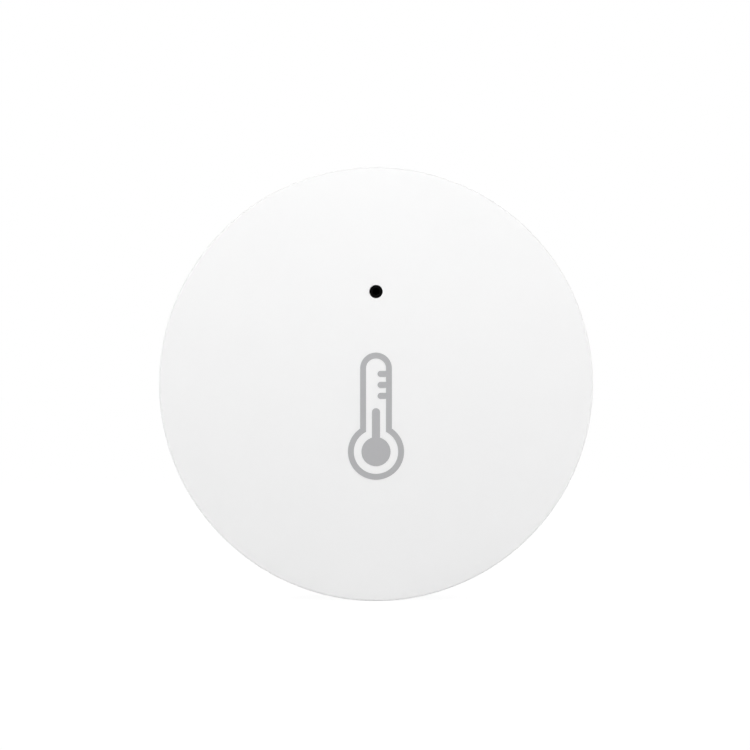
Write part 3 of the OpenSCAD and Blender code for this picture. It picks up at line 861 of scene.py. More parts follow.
def port_sleeve():
    """Rubber sleeve: a flange on the dust mesh, and a nose with a funnelled mouth in the port."""
    low, top = depth("port_sleeve")
    flange_r = across("port_sleeve")[1]
    flange_z = low + SLEEVE_FLANGE
    nose = PORT_R - SLEEVE_FIT
    bore = 0.3
    soft = 0.06
    outline = [(bore, low)]
    outline += eased(flange_r, low, soft, 270, 5)
    outline += eased(flange_r, flange_z, soft, 0, 5)
    outline += arc(nose + soft, flange_z + soft, soft, 270, 180, 5)
    outline += eased(nose, top, soft, 0, 5)
    outline += eased(bore, top, soft, 90, 5)
    return piece("port_sleeve", (turned(outline, (0, PORT_Y), SLEEVE_ROUND), moulded_black_silicone()))


def thread_paths(tree, given):
    """Straight threads side by side, as long as a circle has room for, in short steps."""
    end = add(tree, "ShaderNodeCombineXYZ", {"Y": given["Half width"]})
    start = add(tree, "ShaderNodeVectorMath", {0: end, "Scale": -1.0}, operation="SCALE")
    row = add(tree, "GeometryNodeMeshLine", {"Count": given["Threads"], "Start Location": start,
              "Offset": end}, mode="END_POINTS")
    y = add(tree, "ShaderNodeSeparateXYZ", {0: add(tree, "GeometryNodeInputPosition")})
    square = maths(tree, "MULTIPLY", y.outputs["Y"], y.outputs["Y"])
    whole = maths(tree, "MULTIPLY", given["Radius"], given["Radius"])
    left = maths(tree, "SUBTRACT", whole, square)
    half = maths(tree, "SQRT", left)
    size = add(tree, "ShaderNodeCombineXYZ", {"X": half, "Y": 1.0, "Z": 1.0})
    thread = add(tree, "GeometryNodeCurvePrimitiveLine", {"Start": (-1, 0, 0), "End": (1, 0, 0)})
    laid = add(tree, "GeometryNodeInstanceOnPoints", {"Points": row, "Instance": thread, "Scale": size})
    real = add(tree, "GeometryNodeRealizeInstances", {"Geometry": laid})
    return add(tree, "GeometryNodeResampleCurve", {"Curve": real, "Length": given["Step"]}, mode="LENGTH")


def weave(tree, given):
    """Threads both ways inside a circle, each over and under the next."""
    both = add(tree, "GeometryNodeJoinGeometry")
    for turn, way in ((0.0, 1.0), (math.pi / 2, -1.0)):
        paths = thread_paths(tree, given)
        at = add(tree, "ShaderNodeSeparateXYZ", {0: add(tree, "GeometryNodeInputPosition")})
        lift = maths(tree, "MULTIPLY", given["Swing"], way)
        for axis in ("X", "Y"):
            phase = maths(tree, "DIVIDE", at.outputs[axis], given["Pitch"])
            angle = maths(tree, "MULTIPLY", phase, math.pi)
            wave = maths(tree, "COSINE", angle)
            lift = maths(tree, "MULTIPLY", lift, wave)
        offset = add(tree, "ShaderNodeCombineXYZ", {"Z": lift})
        waved = add(tree, "GeometryNodeSetPosition", {"Geometry": paths, "Offset": offset})
        profile = add(tree, "GeometryNodeCurvePrimitiveCircle", {"Resolution": 6,
                      "Radius": given["Thread radius"]})
        tube = add(tree, "GeometryNodeCurveToMesh", {"Curve": waved,
                   "Profile Curve": profile, "Fill Caps": True})
        laid = add(tree, "GeometryNodeTransform", {"Geometry": tube, "Rotation": (0, 0, turn)})
        tree.links.new(laid.outputs[0], both.inputs[0])
    return both


def port_mesh():
    """Dust mesh: woven thread held in a ring of film."""
    low, high = depth("port_mesh")
    outer_r = across("port_mesh")[1]
    ring_in = 0.9
    grip = 0.05
    pitch = 0.16
    count = 11
    quarter = (high - low) / 4
    material = woven_black_polyester()
    sizes = {"Threads": count, "Half width": pitch * (count - 1) / 2, "Pitch": pitch,
             "Radius": ring_in + grip, "Step": pitch / 6, "Swing": quarter, "Thread radius": quarter}
    cloth = grown("dust_weave", bpy.data.meshes.new("none"), material, sizes, weave)
    cloth.transform(Matrix.Translation((0, PORT_Y, (low + high) / 2)))
    ring = washer(ring_in, outer_r, low, high, (0, PORT_Y), SLEEVE_ROUND)
    return piece("port_mesh", (cloth, material), (ring, material))


# Back

# Bayonet: three lugs on the ring of the cover, which turn in sloping grooves of the back
LUGS = 3
LUG_ANGLE = 30
LUG_HALF = 7.0
LUG_SPARE = 1.5
LUG_REACH = 0.9
LUG_T = 0.7
LUG_GAP = 0.1
LUG_HEAD = 0.15
GROOVE_HEAD = 0.25
COVER_TURN = 30.0
COVER_CLIMB = 0.5
COVER_T = 1.2
COVER_EDGE_R = 0.3
COVER_FIT = 0.2
CELL_PLAY = 0.35
RING_T = 0.75
RING_IN = CELL_R + CELL_PLAY
RING_R = RING_IN + RING_T
LUG_R = RING_R + LUG_REACH
RAMP_SLOPE = COVER_CLIMB / math.radians(COVER_TURN) / (RING_R + LUG_REACH / 2)
LUG_Z0 = LUG_Z1 - LUG_T
RAMP_Z = LUG_Z0 - LUG_GAP
NOTCH_HALF = LUG_HALF + LUG_SPARE
NOTCH_R = LUG_R + COVER_FIT
LEDGE_R = RING_R + COVER_FIT
LEDGE_Z = COVER_Z0 + COVER_T + LUG_GAP
GROOVE_Z = LUG_Z1 + LUG_HEAD
RECESS_R = COVER_R + COVER_FIT

# Plate, battery well and snap skirt
PLATE_T = 1.2
PLATE_EDGE_R = 0.5
BACK_WALL = 1.1
WELL_FLOOR_T = 0.8
WELL_ROOF_T = 1.2
GUIDE_PLAY = 0.25
SHOULDER = 0.4
SKIRT_FIT = 0.15
SKIRT_H = 3.2
SNAPS = 4
SNAP_ANGLE = 45
SNAP_HALF = 12
PLATE_Z1 = PLATE_Z0 + PLATE_T
WELL_R = NOTCH_R + BACK_WALL
WELL_Z0 = WELL_FLOOR_Z - WELL_FLOOR_T
GUIDE_R = CELL_R + GUIDE_PLAY
SKIRT_R = BORE_R - SKIRT_FIT
SKIRT_IN = SKIRT_R - BACK_WALL
SKIRT_Z1 = PLATE_Z1 + SKIRT_H

# Tape, and the marks of the cover's two places
TAPE_W = 2.4
TAPE_R = across("adhesive_ring")[1]
TAPE_IN = TAPE_R - TAPE_W
MARK_R = (RECESS_R + TAPE_IN) / 2
MARK_DEPTH = 0.15
MARK_SIZE = 1.0


def ramp(level, centre_angle, angle):
    """Level of a bayonet ramp at an angle, as a function of the radius."""
    tangent = math.sin(math.radians(angle - centre_angle))
    return lambda r: level + RAMP_SLOPE * r * tangent


def groove_cut():
    """Cutter of the sloping groove that a lug turns in."""
    angles = steps_between(LUG_ANGLE - COVER_TURN - NOTCH_HALF, LUG_ANGLE + NOTCH_HALF)
    stations = [(a, ramp(RAMP_Z - COVER_CLIMB / 2, LUG_ANGLE - COVER_TURN / 2, a)) for a in angles]
    return sector(LEDGE_R - BITE, NOTCH_R, stations, LUG_Z1 + GROOVE_HEAD)


def entry_cut():
    """Cutter of the notch that a lug comes in by."""
    way_in = LUG_ANGLE - COVER_TURN
    angles = steps_between(way_in - NOTCH_HALF, way_in + NOTCH_HALF)
    stations = [(a, lambda r: LEDGE_Z - BEYOND) for a in angles]
    return sector(LEDGE_R - BITE, NOTCH_R, stations, LUG_Z1)


def back_outline():
    """Half section of the back: plate, snap skirt, battery well and cover recess."""
    roof_z = GROOVE_Z + WELL_ROOF_T
    guide_out = GUIDE_R + BACK_WALL
    shoulder_r = BORE_R + SHOULDER
    outline = eased(RECESS_R, PLATE_Z0, RIM_R, 180, 6)
    outline += eased(PLATE_R, PLATE_Z0, PLATE_EDGE_R, 270, 12)
    outline += [(PLATE_R, PLATE_Z1), (shoulder_r, PLATE_Z1), (shoulder_r, SEAM_Z), (SKIRT_R, SEAM_Z)]
    outline += [(SKIRT_R, SKIRT_Z1), (SKIRT_IN, SKIRT_Z1), (SKIRT_IN, PLATE_Z1), (WELL_R, PLATE_Z1)]
    outline += [(WELL_R, roof_z), (guide_out, roof_z), (guide_out, WELL_FLOOR_Z)]
    outline += [(0, WELL_FLOOR_Z), (0, WELL_Z0), (GUIDE_R, WELL_Z0), (GUIDE_R, GROOVE_Z)]
    outline += [(LEDGE_R, GROOVE_Z), (LEDGE_R, LEDGE_Z), (RECESS_R, LEDGE_Z)]
    return outline


def snap_bead():
    """Bead of the skirt that snaps into the front's groove, with a slope that eases it in."""
    rise, flat, tall, reach = 1.4, 0.4, 1.2, 0.25
    low = SEAM_Z + rise
    foot_r, bead_r = SKIRT_R - BITE, BORE_R + reach
    section = [(foot_r, low), (bead_r, low), (bead_r, low + flat), (foot_r, low + tall)]
    angles = steps_between(SNAP_ANGLE - SNAP_HALF, SNAP_ANGLE + SNAP_HALF)
    return lofted([[(*on_circle(r, a), z) for r, z in section] for a in angles])


def back_windows():
    """Cutters of the back: the button's gap in the skirt, the contacts' windows and the two marks."""
    button_spare, leaf_spare, leaf_half, clip_half, clip_reach = 0.4, 0.3, 1.8, 1.9, 1.05
    gap = math.degrees(math.asin((across("reset_button")[1] + button_spare) / SKIRT_IN))
    stations = [(a, lambda r: SEAM_Z) for a in steps_between(TOP_ANGLE - gap, TOP_ANGLE + gap)]
    left, right = across("negative_contact")
    deep = PLATE_Z0 + MARK_DEPTH
    return joined(sector(SKIRT_IN - BITE, SKIRT_R + BITE, stations, SKIRT_Z1 + BEYOND),
                  block(left - leaf_spare, right + leaf_spare, -leaf_half, leaf_half,
                        WELL_Z0 - BEYOND, WELL_FLOOR_Z + BEYOND),
                  block(-(CELL_R + clip_reach), BITE - GUIDE_R, -clip_half, clip_half,
                        GROOVE_Z - BITE, WELL_FLOOR_Z + BEYOND),
                  block(MARK_R - MARK_SIZE / 2, MARK_R + MARK_SIZE / 2, -MARK_SIZE / 6, MARK_SIZE / 6,
                        PLATE_Z0 - BEYOND, deep, turn=TOP_ANGLE),
                  washer(MARK_SIZE / 4, MARK_SIZE / 2, -BEYOND, deep,
                         on_circle(MARK_R, TOP_ANGLE - COVER_TURN), HOLE_ROUND))


def back_shell():
    """Moulded back: a turned form with snap beads, ribs, bayonet grooves, windows and marks."""
    rib_half, rib_h = 0.4, 2
    rib = block(WELL_R - BITE, SKIRT_IN + BITE, -rib_half, rib_half, PLATE_Z1 - BITE, PLATE_Z1 + rib_h,
                turn=SCREW_ANGLE)
    held = joined(around("snap_beads", snap_bead(), BACK_ABS, SNAPS), around("ribs", rib, BACK_ABS, SCREWS))
    grooves = around("bayonet_grooves", groove_cut(), BACK_ABS, LUGS)
    entries = around("bayonet_entries", entry_cut(), BACK_ABS, LUGS)
    mesh = carved(turned(back_outline()), added=[held], cut=[grooves, entries, back_windows()])
    return piece("back_shell", (mesh, BACK_ABS))


def coin_slot():
    """Cutter of the slot that a coin fits, dipping to its middle, with soft edges that fade to its ends."""
    half_l, half_w, deepest = 7.0, 0.9, 0.8
    least_lip, widest_lip = 0.004, 0.12
    away = math.radians(90 - LIP_TURN)
    coin_r = (half_l ** 2 + deepest ** 2) / (2 * deepest)
    rings = []
    for x, _ in line((-half_l - BITE, 0), (half_l + BITE, 0), 90):
        dip = math.sqrt(coin_r ** 2 - x * x) - coin_r + deepest
        lip = min(max(dip / 2, least_lip), widest_lip)
        rise = max(lip - dip, 0)
        side = [(half_w + lip - c, s - lip) for c, s in arc(0, 0, lip, LIP_TURN, 0, 5)]
        outward = (side[0][0] + lip * math.cos(away), side[0][1] + lip * math.sin(away))
        half = [(outward[0], BEYOND), outward] + side + [(half_w, -max(dip, lip))]
        ring = half + [(-y, z) for y, z in reversed(half)]
        rings.append([(x, y, COVER_Z0 - z - rise) for y, z in ring])
    return lofted(rings)


def battery_cover():
    """Moulded cover: plate with a soft edge, coin slot, arrow mark, inner ring and three bayonet lugs."""
    plate_z1 = COVER_Z0 + COVER_T
    ring_z1 = LUG_Z1 - LUG_GAP
    outline = [(0, COVER_Z0)]
    outline += eased(COVER_R, COVER_Z0, COVER_EDGE_R, 270, 8)
    outline += [(COVER_R, plate_z1), (RING_R, plate_z1), (RING_R, ring_z1), (RING_IN, ring_z1)]
    outline += [(RING_IN, plate_z1), (0, plate_z1)]
    angles = steps_between(LUG_ANGLE - LUG_HALF, LUG_ANGLE + LUG_HALF)
    lug = sector(RING_R - BITE, LUG_R, [(a, ramp(LUG_Z0, LUG_ANGLE, a)) for a in angles], LUG_Z1)
    lugs = around("bayonet_lugs", lug, BACK_ABS, LUGS)
    base = COVER_R - COVER_EDGE_R - MARK_SIZE
    tip = base + MARK_SIZE * math.sqrt(3) / 2
    corners = [(-MARK_SIZE / 2, base), (MARK_SIZE / 2, base), (0, tip)]
    arrow = prism(corners, COVER_Z0 - BEYOND, COVER_Z0 + MARK_DEPTH)
    mesh = carved(turned(outline), added=[lugs], cut=[coin_slot(), arrow])
    return piece("battery_cover", (mesh, BACK_ABS))


def adhesive_ring():
    """Foam ring, its cut sides slightly full, with a film of adhesive on each face."""
    thickness = depth("adhesive_ring")[1]
    coat = 0.05
    full = 0.05
    steps = 8
    side = [math.sin(math.pi * i / steps) * full for i in range(steps + 1)]
    levels = [coat + (thickness - 2 * coat) * i / steps for i in range(steps + 1)]
    outline = [(TAPE_R - full + s, z) for s, z in zip(side, levels)]
    outline += [(TAPE_IN + full - s, z) for s, z in zip(side[::-1], levels[::-1])]
    coats = [washer(TAPE_IN + full, TAPE_R - full, z, z + coat) for z in (0, thickness - coat)]
    return piece("adhesive_ring", (turned(outline), cut_white_foam()), (joined(*coats), coated_adhesive()))


# Circuit board

COPPER = 0.03
SOLDER = 0.045
PLATING = 0.03
TRACK_W = 0.25
CORNER_CUT = 1.5
LAND_REACH = 0.3
LAND_CORNER = 0.1
PAD_T = 0.15
PAD_INWARD = 0.3
SCREW_HOLE_R = 0.8
SCREW_RING = 0.6
CHIP_PADS, CHIP_PITCH, CHIP_PAD_W = 8, 0.5, 0.25
SENSE_PADS, SENSE_PITCH, SENSE_PAD_W = 3, 0.7, 0.35
CAP_L, CAP_W, CAP_COLUMNS, CAP_ROWS = 1.0, 0.5, 4, 3
(CAP_X0, CAP_X1), (CAP_Y0, CAP_Y1), (CAP_Z0, CAP_Z1) = spans("board_passives")
CAP_PITCH_X = (CAP_X1 - CAP_X0 - CAP_L) / (CAP_COLUMNS - 1)
CAP_PITCH_Y = (CAP_Y1 - CAP_Y0 - CAP_W) / (CAP_ROWS - 1)
LEAF_FOOT_X = 3.4
CLIP_SPACE = 0.65
CLIP_WALL_X = -(CELL_R + CLIP_SPACE)
AERIAL_W = 0.4
LAMP_RUN_Y = 10.1
SWITCH_VIA = (-1.5, 12.2)
SUPPLY_VIA = (-10.2, CHIP_PITCH / 2)
GROUND_VIA = (7.0, 0.0)
VIA_R = 0.22
VIA_WALL = 0.14
VIA_STEP = 10
VIA_EDGE = 0.7


def film(loop, front=True, height=COPPER):
    """Copper or solder inside a loop of points, on the front or the back of the board."""
    if front:
        return prism(loop, BOARD_Z1 - height, BOARD_Z1 + height)
    return prism(loop, BOARD_Z0 + height, BOARD_Z0 - height)


def land(x0, x1, y0, y1, front=True):
    """A solder land between four sides."""
    loop = rounded(x1 - x0, y1 - y0, LAND_CORNER, corner_steps=4, side_steps=1)
    return film([((x0 + x1) / 2 + x, (y0 + y1) / 2 + y) for x, y in loop], front, SOLDER)


def corners_cut(path):
    """A path of right-angled runs, its corners cut at 45 degrees."""
    points = [path[0]]
    for before, corner, after in zip(path, path[1:], path[2:]):
        runs = [Vector(end) - Vector(corner) for end in (before, after)]
        cut = min(CORNER_CUT, *[run.length / 2 for run in runs])
        points += [tuple(Vector(corner) + run.normalized() * cut) for run in runs]
    return distinct(points + [path[-1]])


def track_outline(path, width):
    """Outline of a track along a path, which goes past its ends by half its width."""
    half = width / 2
    sides = ([], [])
    for i, point in enumerate(path):
        runs = zip(path[max(i - 1, 0):i + 1], path[max(i, 1):i + 2])
        ways = [(Vector(end) - Vector(start)).normalized() for start, end in runs]
        normal = Vector((-ways[0].y - ways[-1].y, ways[0].x + ways[-1].x)) / (1 + ways[0].dot(ways[-1]))
        past = ways[0] * {0: -half, len(path) - 1: half}.get(i, 0)
        for side, way in zip(sides, (half, -half)):
            side.append(tuple(Vector(point) + past + normal * way))
    return sides[0] + sides[1][::-1]


def front_paths():
    """Paths of the front's tracks, from the pads of the radio chip to what they serve."""
    (left, right), (bottom, top), _ = spans("radio_chip")
    chip_x = middle("radio_chip")[0]
    aerial_x = across("antenna_trace")[0]
    last, second = (CHIP_PADS - 1) / 2, 1.5
    knee, knee_step, lamp_space, aerial_space, run_drop = 1, 0.6, 1, 0.8, 2
    paths = [[SUPPLY_VIA, (left, SUPPLY_VIA[1])]]
    for i in range(SENSE_PADS):
        x, y = (i - 1) * SENSE_PITCH, (last - i) * CHIP_PITCH
        paths.append([(right, y), (x, y), (x, upward("sensor_chip")[0])])
    for i in range(CAP_ROWS):
        pad_y, row_y = -(second + i) * CHIP_PITCH, CAP_Y1 - CAP_W / 2 - i * CAP_PITCH_Y
        x = CAP_X0 - knee - knee_step * i
        paths.append([(right, pad_y), (x, pad_y), (x, row_y), (CAP_X0, row_y)])
    for side in (-second, second):
        x = chip_x + side * CHIP_PITCH
        paths.append([(x, bottom), (x, upward("crystal")[1])])
    lamp_x, lamp_y = across("status_led")[0], middle("status_led")[1]
    x, turn_x = chip_x + last * CHIP_PITCH, lamp_x - lamp_space
    paths.append([(x, top), (x, LAMP_RUN_Y), (turn_x, LAMP_RUN_Y), (turn_x, lamp_y), (lamp_x, lamp_y)])
    x = chip_x + (last - 1) * CHIP_PITCH
    paths.append([(x, top), (x, SWITCH_VIA[1]), SWITCH_VIA])
    x, turn_x, run_y = CAP_X0 + CAP_L / 2, aerial_x - aerial_space, CAP_Y0 - run_drop
    feed_y = upward("antenna_trace")[0] + AERIAL_W / 2
    paths.append([(x, CAP_Y0), (x, run_y), (turn_x, run_y), (turn_x, feed_y), (aerial_x, feed_y)])
    return paths


def tracks():
    """Copper tracks of both faces, under the mask."""
    back_paths = [[SWITCH_VIA, (SWITCH_VIA[0], middle("switch_body")[1])],
                  [(CLIP_WALL_X, SUPPLY_VIA[1]), SUPPLY_VIA],
                  [(across("negative_contact")[1], 0.0), GROUND_VIA]]
    made = [film(track_outline(corners_cut(path), TRACK_W)) for path in front_paths()]
    made += [film(track_outline(path, 2 * TRACK_W), front=False) for path in back_paths]
    gap = CAP_PITCH_X - CAP_L
    link = block(-gap / 2, gap / 2, -TRACK_W / 2, TRACK_W / 2, -COPPER, COPPER)
    made.append(capacitor_grid("capacitor_links", link, TIN, CAP_COLUMNS - 1))
    return joined(*made)


def lands():
    """Soldered lands under the parts of both faces."""
    cap_half_l, cap_half_w = 0.25, 0.3
    lamp_half, lamp_spare = 0.25, 0.05
    crystal_half_w, crystal_half_h, crystal_in_x, crystal_in_y = 0.7, 0.6, 0.5, 0.4
    switch_half, switch_low, switch_high = 0.5, 0.3, 0.4
    made = [chip_pads("radio_chip", CHIP_PADS, CHIP_PITCH, CHIP_PAD_W, LAND_REACH, SOLDER),
            chip_pads("sensor_chip", SENSE_PADS, SENSE_PITCH, SENSE_PAD_W, LAND_REACH, SOLDER)]
    ends = [block(x - cap_half_l, x + cap_half_l, -cap_half_w, cap_half_w, -SOLDER, SOLDER)
            for x in (-CAP_L / 2, CAP_L / 2)]
    made.append(capacitor_grid("capacitor_lands", joined(*ends), TIN))
    (left, right), (low, high), _ = spans("status_led")
    made += [land(x - lamp_half, x + lamp_half, low - lamp_spare, high + lamp_spare) for x in (left, right)]
    (left, right), (low, high), _ = spans("crystal")
    for x in (left + crystal_in_x, right - crystal_in_x):
        for y in (low + crystal_in_y, high - crystal_in_y):
            made.append(land(x - crystal_half_w, x + crystal_half_w, y - crystal_half_h, y + crystal_half_h))
    (left, right), (low, high), _ = spans("switch_body")
    made += [land(x - switch_half, x + switch_half, low + switch_low, high - switch_high, front=False)
             for x in (left, right)]
    for node, x0, x1 in (("negative_contact", LEAF_FOOT_X, across("negative_contact")[1]),
                         ("positive_contact", across("positive_contact")[0], CLIP_WALL_X)):
        half = upward(node)[1] + LAND_REACH
        made.append(land(x0 - LAND_REACH, x1 + LAND_REACH, -half, half, front=False))
    return joined(*made)


def via_places():
    """Places of the vias: the tracks' own, and a row round the edge, clear of screws, flat and aerial."""
    places = [SWITCH_VIA, SUPPLY_VIA, GROUND_VIA]
    apart = 360 / SCREWS
    flat_y = upward("circuit_board")[1]
    for angle in range(0, 360, VIA_STEP):
        x, y = on_circle(BOARD_R - VIA_EDGE, angle)
        from_screw = abs((angle - SCREW_ANGLE + apart / 2) % apart - apart / 2)
        at_aerial = x > across("antenna_trace")[0] - BEYOND and y < upward("antenna_trace")[1] + BEYOND
        if from_screw > VIA_STEP / 2 and y < flat_y - VIA_EDGE and not at_aerial:
            places.append((x, y))
    return places


def via_rings(tree, given):
    """A small plated ring through the board at each point of the mesh."""
    rim = add(tree, "GeometryNodeCurvePrimitiveCircle", {"Resolution": 12, "Radius": given["Radius"]})
    wall = add(tree, "GeometryNodeCurvePrimitiveQuadrilateral", {"Width": given["Wall"],
               "Height": given["Length"]})
    ring = add(tree, "GeometryNodeCurveToMesh", {"Curve": rim, "Profile Curve": wall})
    return add(tree, "GeometryNodeInstanceOnPoints", {"Points": given["Geometry"], "Instance": ring})


def plated_holes():
    """Bare metal through the board: a wide ring at each screw, and the vias."""
    low, high = BOARD_Z0 - SOLDER, BOARD_Z1 + SOLDER
    ring = washer(SCREW_HOLE_R - PLATING, SCREW_HOLE_R + SCREW_RING, low, high, on_circle(*SCREW_PLACE),
                  HOLE_ROUND)
    places = bpy.data.meshes.new("via_places")
    places.from_pydata([(x, y, (low + high) / 2) for x, y in via_places()], [], [])
    sizes = {"Radius": VIA_R, "Wall": VIA_WALL, "Length": high - low}
    return joined(around("screw_rings", ring, GOLD, SCREWS), grown("vias", places, GOLD, sizes, via_rings))


def circuit_board():
    """Round board: masked faces, milled edge, screw holes, the flat behind the button, and its copper."""
    low, high = BOARD_Z0 - BEYOND, BOARD_Z1 + BEYOND
    hole = washer(0, SCREW_HOLE_R, low, high, on_circle(*SCREW_PLACE), HOLE_ROUND)
    mask = green_solder_mask()
    holes = around("screw_holes", hole, mask, SCREWS)
    flat = block(-BOARD_R, BOARD_R, upward("circuit_board")[1], BOARD_R + BEYOND, low, high)
    mesh = carved(washer(0, BOARD_R, BOARD_Z0, BOARD_Z1), cut=[joined(flat, holes)])
    shown = piece("circuit_board", (mesh, mask), (tracks(), mask_over_copper()), (lands(), TIN),
                  (plated_holes(), GOLD))
    # Faces of the bare board that look sideways are its milled edge
    sideways = 0.5
    shown.data.materials.append(routed_glass_laminate())
    edge = len(shown.data.materials) - 1
    for face in shown.data.polygons:
        if face.material_index == 0 and abs(face.normal.y) < sideways:
            face.material_index = edge
    return shown


def board_screws():
    """Three zinc screws: pan heads with a cross, and threaded shanks that taper at their tips."""
    low, high = depth("board_screws")
    head_r, head_flat_r, head_edge = 1.2, 0.9, 0.25
    shank_r, thread_depth, pitch, rings_a_turn = 0.6, 0.13, 0.4, 8
    tip_l, tip_r, tip_share = 0.5, 0.2, 0.45
    cross_half_l, cross_half_w, cross_depth = 0.85, 0.15, 0.25
    points = 36
    profile = [(head_flat_r, low)] + arc(head_r - head_edge, low + head_edge, head_edge, 300, 360, 4)
    profile += [(head_r, BOARD_Z0), (shank_r, BOARD_Z0)]
    rings = [[(*on_circle(r, 360 * i / points), z) for i in range(points)] for r, z in profile]
    turns = (high - BOARD_Z0) / pitch
    for step in range(1, int(turns * rings_a_turn)):
        z = BOARD_Z0 + step * pitch / rings_a_turn
        tip = min(1.0, (high - z) / tip_l)
        ring = []
        for i in range(points):
            share = (z / pitch - i / points) % 1
            r = (shank_r - thread_depth * abs(2 * share - 1)) * (tip_share + (1 - tip_share) * tip)
            ring.append((*on_circle(r, 360 * i / points), z))
        rings.append(ring)
    rings.append([(*on_circle(tip_r, 360 * i / points), high) for i in range(points)])
    cross = [block(-cross_half_l, cross_half_l, -cross_half_w, cross_half_w, low - BEYOND, low + cross_depth,
                   turn=turn) for turn in (0, 90)]
    screw = carved(lofted(rings), cut=cross)
    screw.transform(Matrix.Translation((*on_circle(*SCREW_PLACE), 0)))
    steel = zinc_plated_steel()
    return piece("board_screws", (around("screws", screw, steel, SCREWS), steel))


def four_rows(tree, given):
    """The mesh, in a row along each side of a square."""
    span = maths(tree, "SUBTRACT", given["Count"], 1.0)
    length = maths(tree, "MULTIPLY", span, given["Pitch"])
    half = maths(tree, "DIVIDE", length, 2.0)
    back = maths(tree, "MULTIPLY", half, -1.0)
    start = add(tree, "ShaderNodeCombineXYZ", {"X": given["Half side"], "Y": back})
    end = add(tree, "ShaderNodeCombineXYZ", {"X": given["Half side"], "Y": half})
    row = add(tree, "GeometryNodeMeshLine", {"Count": given["Count"], "Start Location": start,
              "Offset": end}, mode="END_POINTS")
    pads = add(tree, "GeometryNodeInstanceOnPoints", {"Points": row, "Instance": given["Geometry"]})
    sides = add(tree, "GeometryNodeJoinGeometry")
    for side in range(4):
        turn = add(tree, "GeometryNodeTransform", {"Geometry": pads, "Rotation": (0, 0, side * math.pi / 2)})
        tree.links.new(turn.outputs[0], sides.inputs[0])
    return sides


def chip_pads(node, count, pitch, pad_w, reach=0.0, tall=PAD_T):
    """Tinned pads round the foot of a square chip, or the lands that reach out from under it."""
    (left, right), _, (low, _) = spans(node)
    pad = block(-PAD_INWARD, reach, -pad_w / 2, pad_w / 2, 0, tall, soft=tall / 8)
    sizes = {"Count": count, "Pitch": pitch, "Half side": (right - left) / 2}
    pads = grown(node + "_pads", pad, TIN, sizes, four_rows)
    pads.transform(Matrix.Translation((*middle(node), low)))
    return pads


def chip_body(node):
    """Moulded body of a chip, just inside its pads and clear of the board."""
    (left, right), (bottom, top), (low, high) = spans(node)
    inset = 0.02
    return block(left + inset, right - inset, bottom + inset, top - inset, low + inset, high, soft=0.06)


def radio_chip():
    """Leadless radio chip: epoxy body with a corner dimple, and tinned pads on four sides."""
    (left, _), (_, top), (_, high) = spans("radio_chip")
    dimple_r, dimple_mouth, dimple_depth, corner = 0.22, 0.25, 0.04, 0.7
    outline = [(0, high - dimple_depth), (dimple_r, high - dimple_depth), (dimple_mouth, high + BEYOND),
               (0, high + BEYOND)]
    dimple = turned(outline, (left + corner, top - corner), PIN_ROUND)
    body = carved(chip_body("radio_chip"), cut=[dimple])
    pads = chip_pads("radio_chip", CHIP_PADS, CHIP_PITCH, CHIP_PAD_W)
    return piece("radio_chip", (body, EPOXY), (pads, TIN))


def sensor_chip():
    """Sensing chip: epoxy body with a round window down to its die, and tinned pads."""
    high = depth("sensor_chip")[1]
    die_r, mouth_r, die_depth, rim = 0.45, 0.6, 0.4, 0.05
    outline = [(0, high - die_depth), (die_r, high - die_depth), (mouth_r, high + rim),
               (mouth_r, high + BEYOND), (0, high + BEYOND)]
    window = turned(outline, middle("sensor_chip"), HOLE_ROUND)
    body = carved(chip_body("sensor_chip"), cut=[window])
    pads = chip_pads("sensor_chip", SENSE_PADS, SENSE_PITCH, SENSE_PAD_W)
    return piece("sensor_chip", (body, EPOXY), (pads, TIN))


def crystal():
    """Quartz crystal: ceramic base with a seam-welded metal lid."""
    (left, right), (bottom, top), (low, high) = spans("crystal")
    base_h, overlap, corner = 0.35, 0.05, 0.3
    lid_inset, lid_top_inset, lid_edge = 0.12, 0.2, 0.08
    base = block(left, right, bottom, top, low, low + base_h, soft=0.05)
    levels = ((lid_inset, low + base_h - overlap), (lid_inset, high - lid_edge), (lid_top_inset, high))
    stations = [(right - left - 2 * inset, top - bottom - 2 * inset, z) for inset, z in levels]
    lid = stacked(middle("crystal"), corner, *stations)
    return piece("crystal", (base, fired_dark_ceramic()), (lid, nickel_plated_lid()))


def status_led():
    """Small status lamp: white frame, clear lens and two tinned ends."""
    (left, right), (bottom, top), (low, high) = spans("status_led")
    frame_h, inset, end_l, end_drop, soft = 0.25, 0.2, 0.22, 0.02, 0.03
    sunk, lens_corner, lens_edge = 0.05, 0.12, 0.1
    frame_z = low + frame_h
    base = block(left + inset, right - inset, bottom, top, low, frame_z, soft=soft)
    lens = stacked(middle("status_led"), lens_corner, (1.1, 0.76, frame_z - sunk),
                   (1.05, 0.7, high - lens_edge), (0.9, 0.55, high))
    ends = both_ends(left, right, end_l, bottom, top, low, frame_z - end_drop, soft=soft)
    return piece("status_led", (base, moulded_white_resin()), (lens, cast_clear_resin()), (ends, TIN))


def grid(tree, given):
    """The mesh, copied on a grid."""
    lengths = []
    for count, pitch in (("Columns", "Pitch across"), ("Rows", "Pitch up")):
        span = maths(tree, "SUBTRACT", given[count], 1.0)
        lengths.append(maths(tree, "MULTIPLY", span, given[pitch]))
    points = add(tree, "GeometryNodeMeshGrid", {"Size X": lengths[0], "Size Y": lengths[1],
                 "Vertices X": given["Columns"], "Vertices Y": given["Rows"]})
    return add(tree, "GeometryNodeInstanceOnPoints", {"Points": points, "Instance": given["Geometry"]})


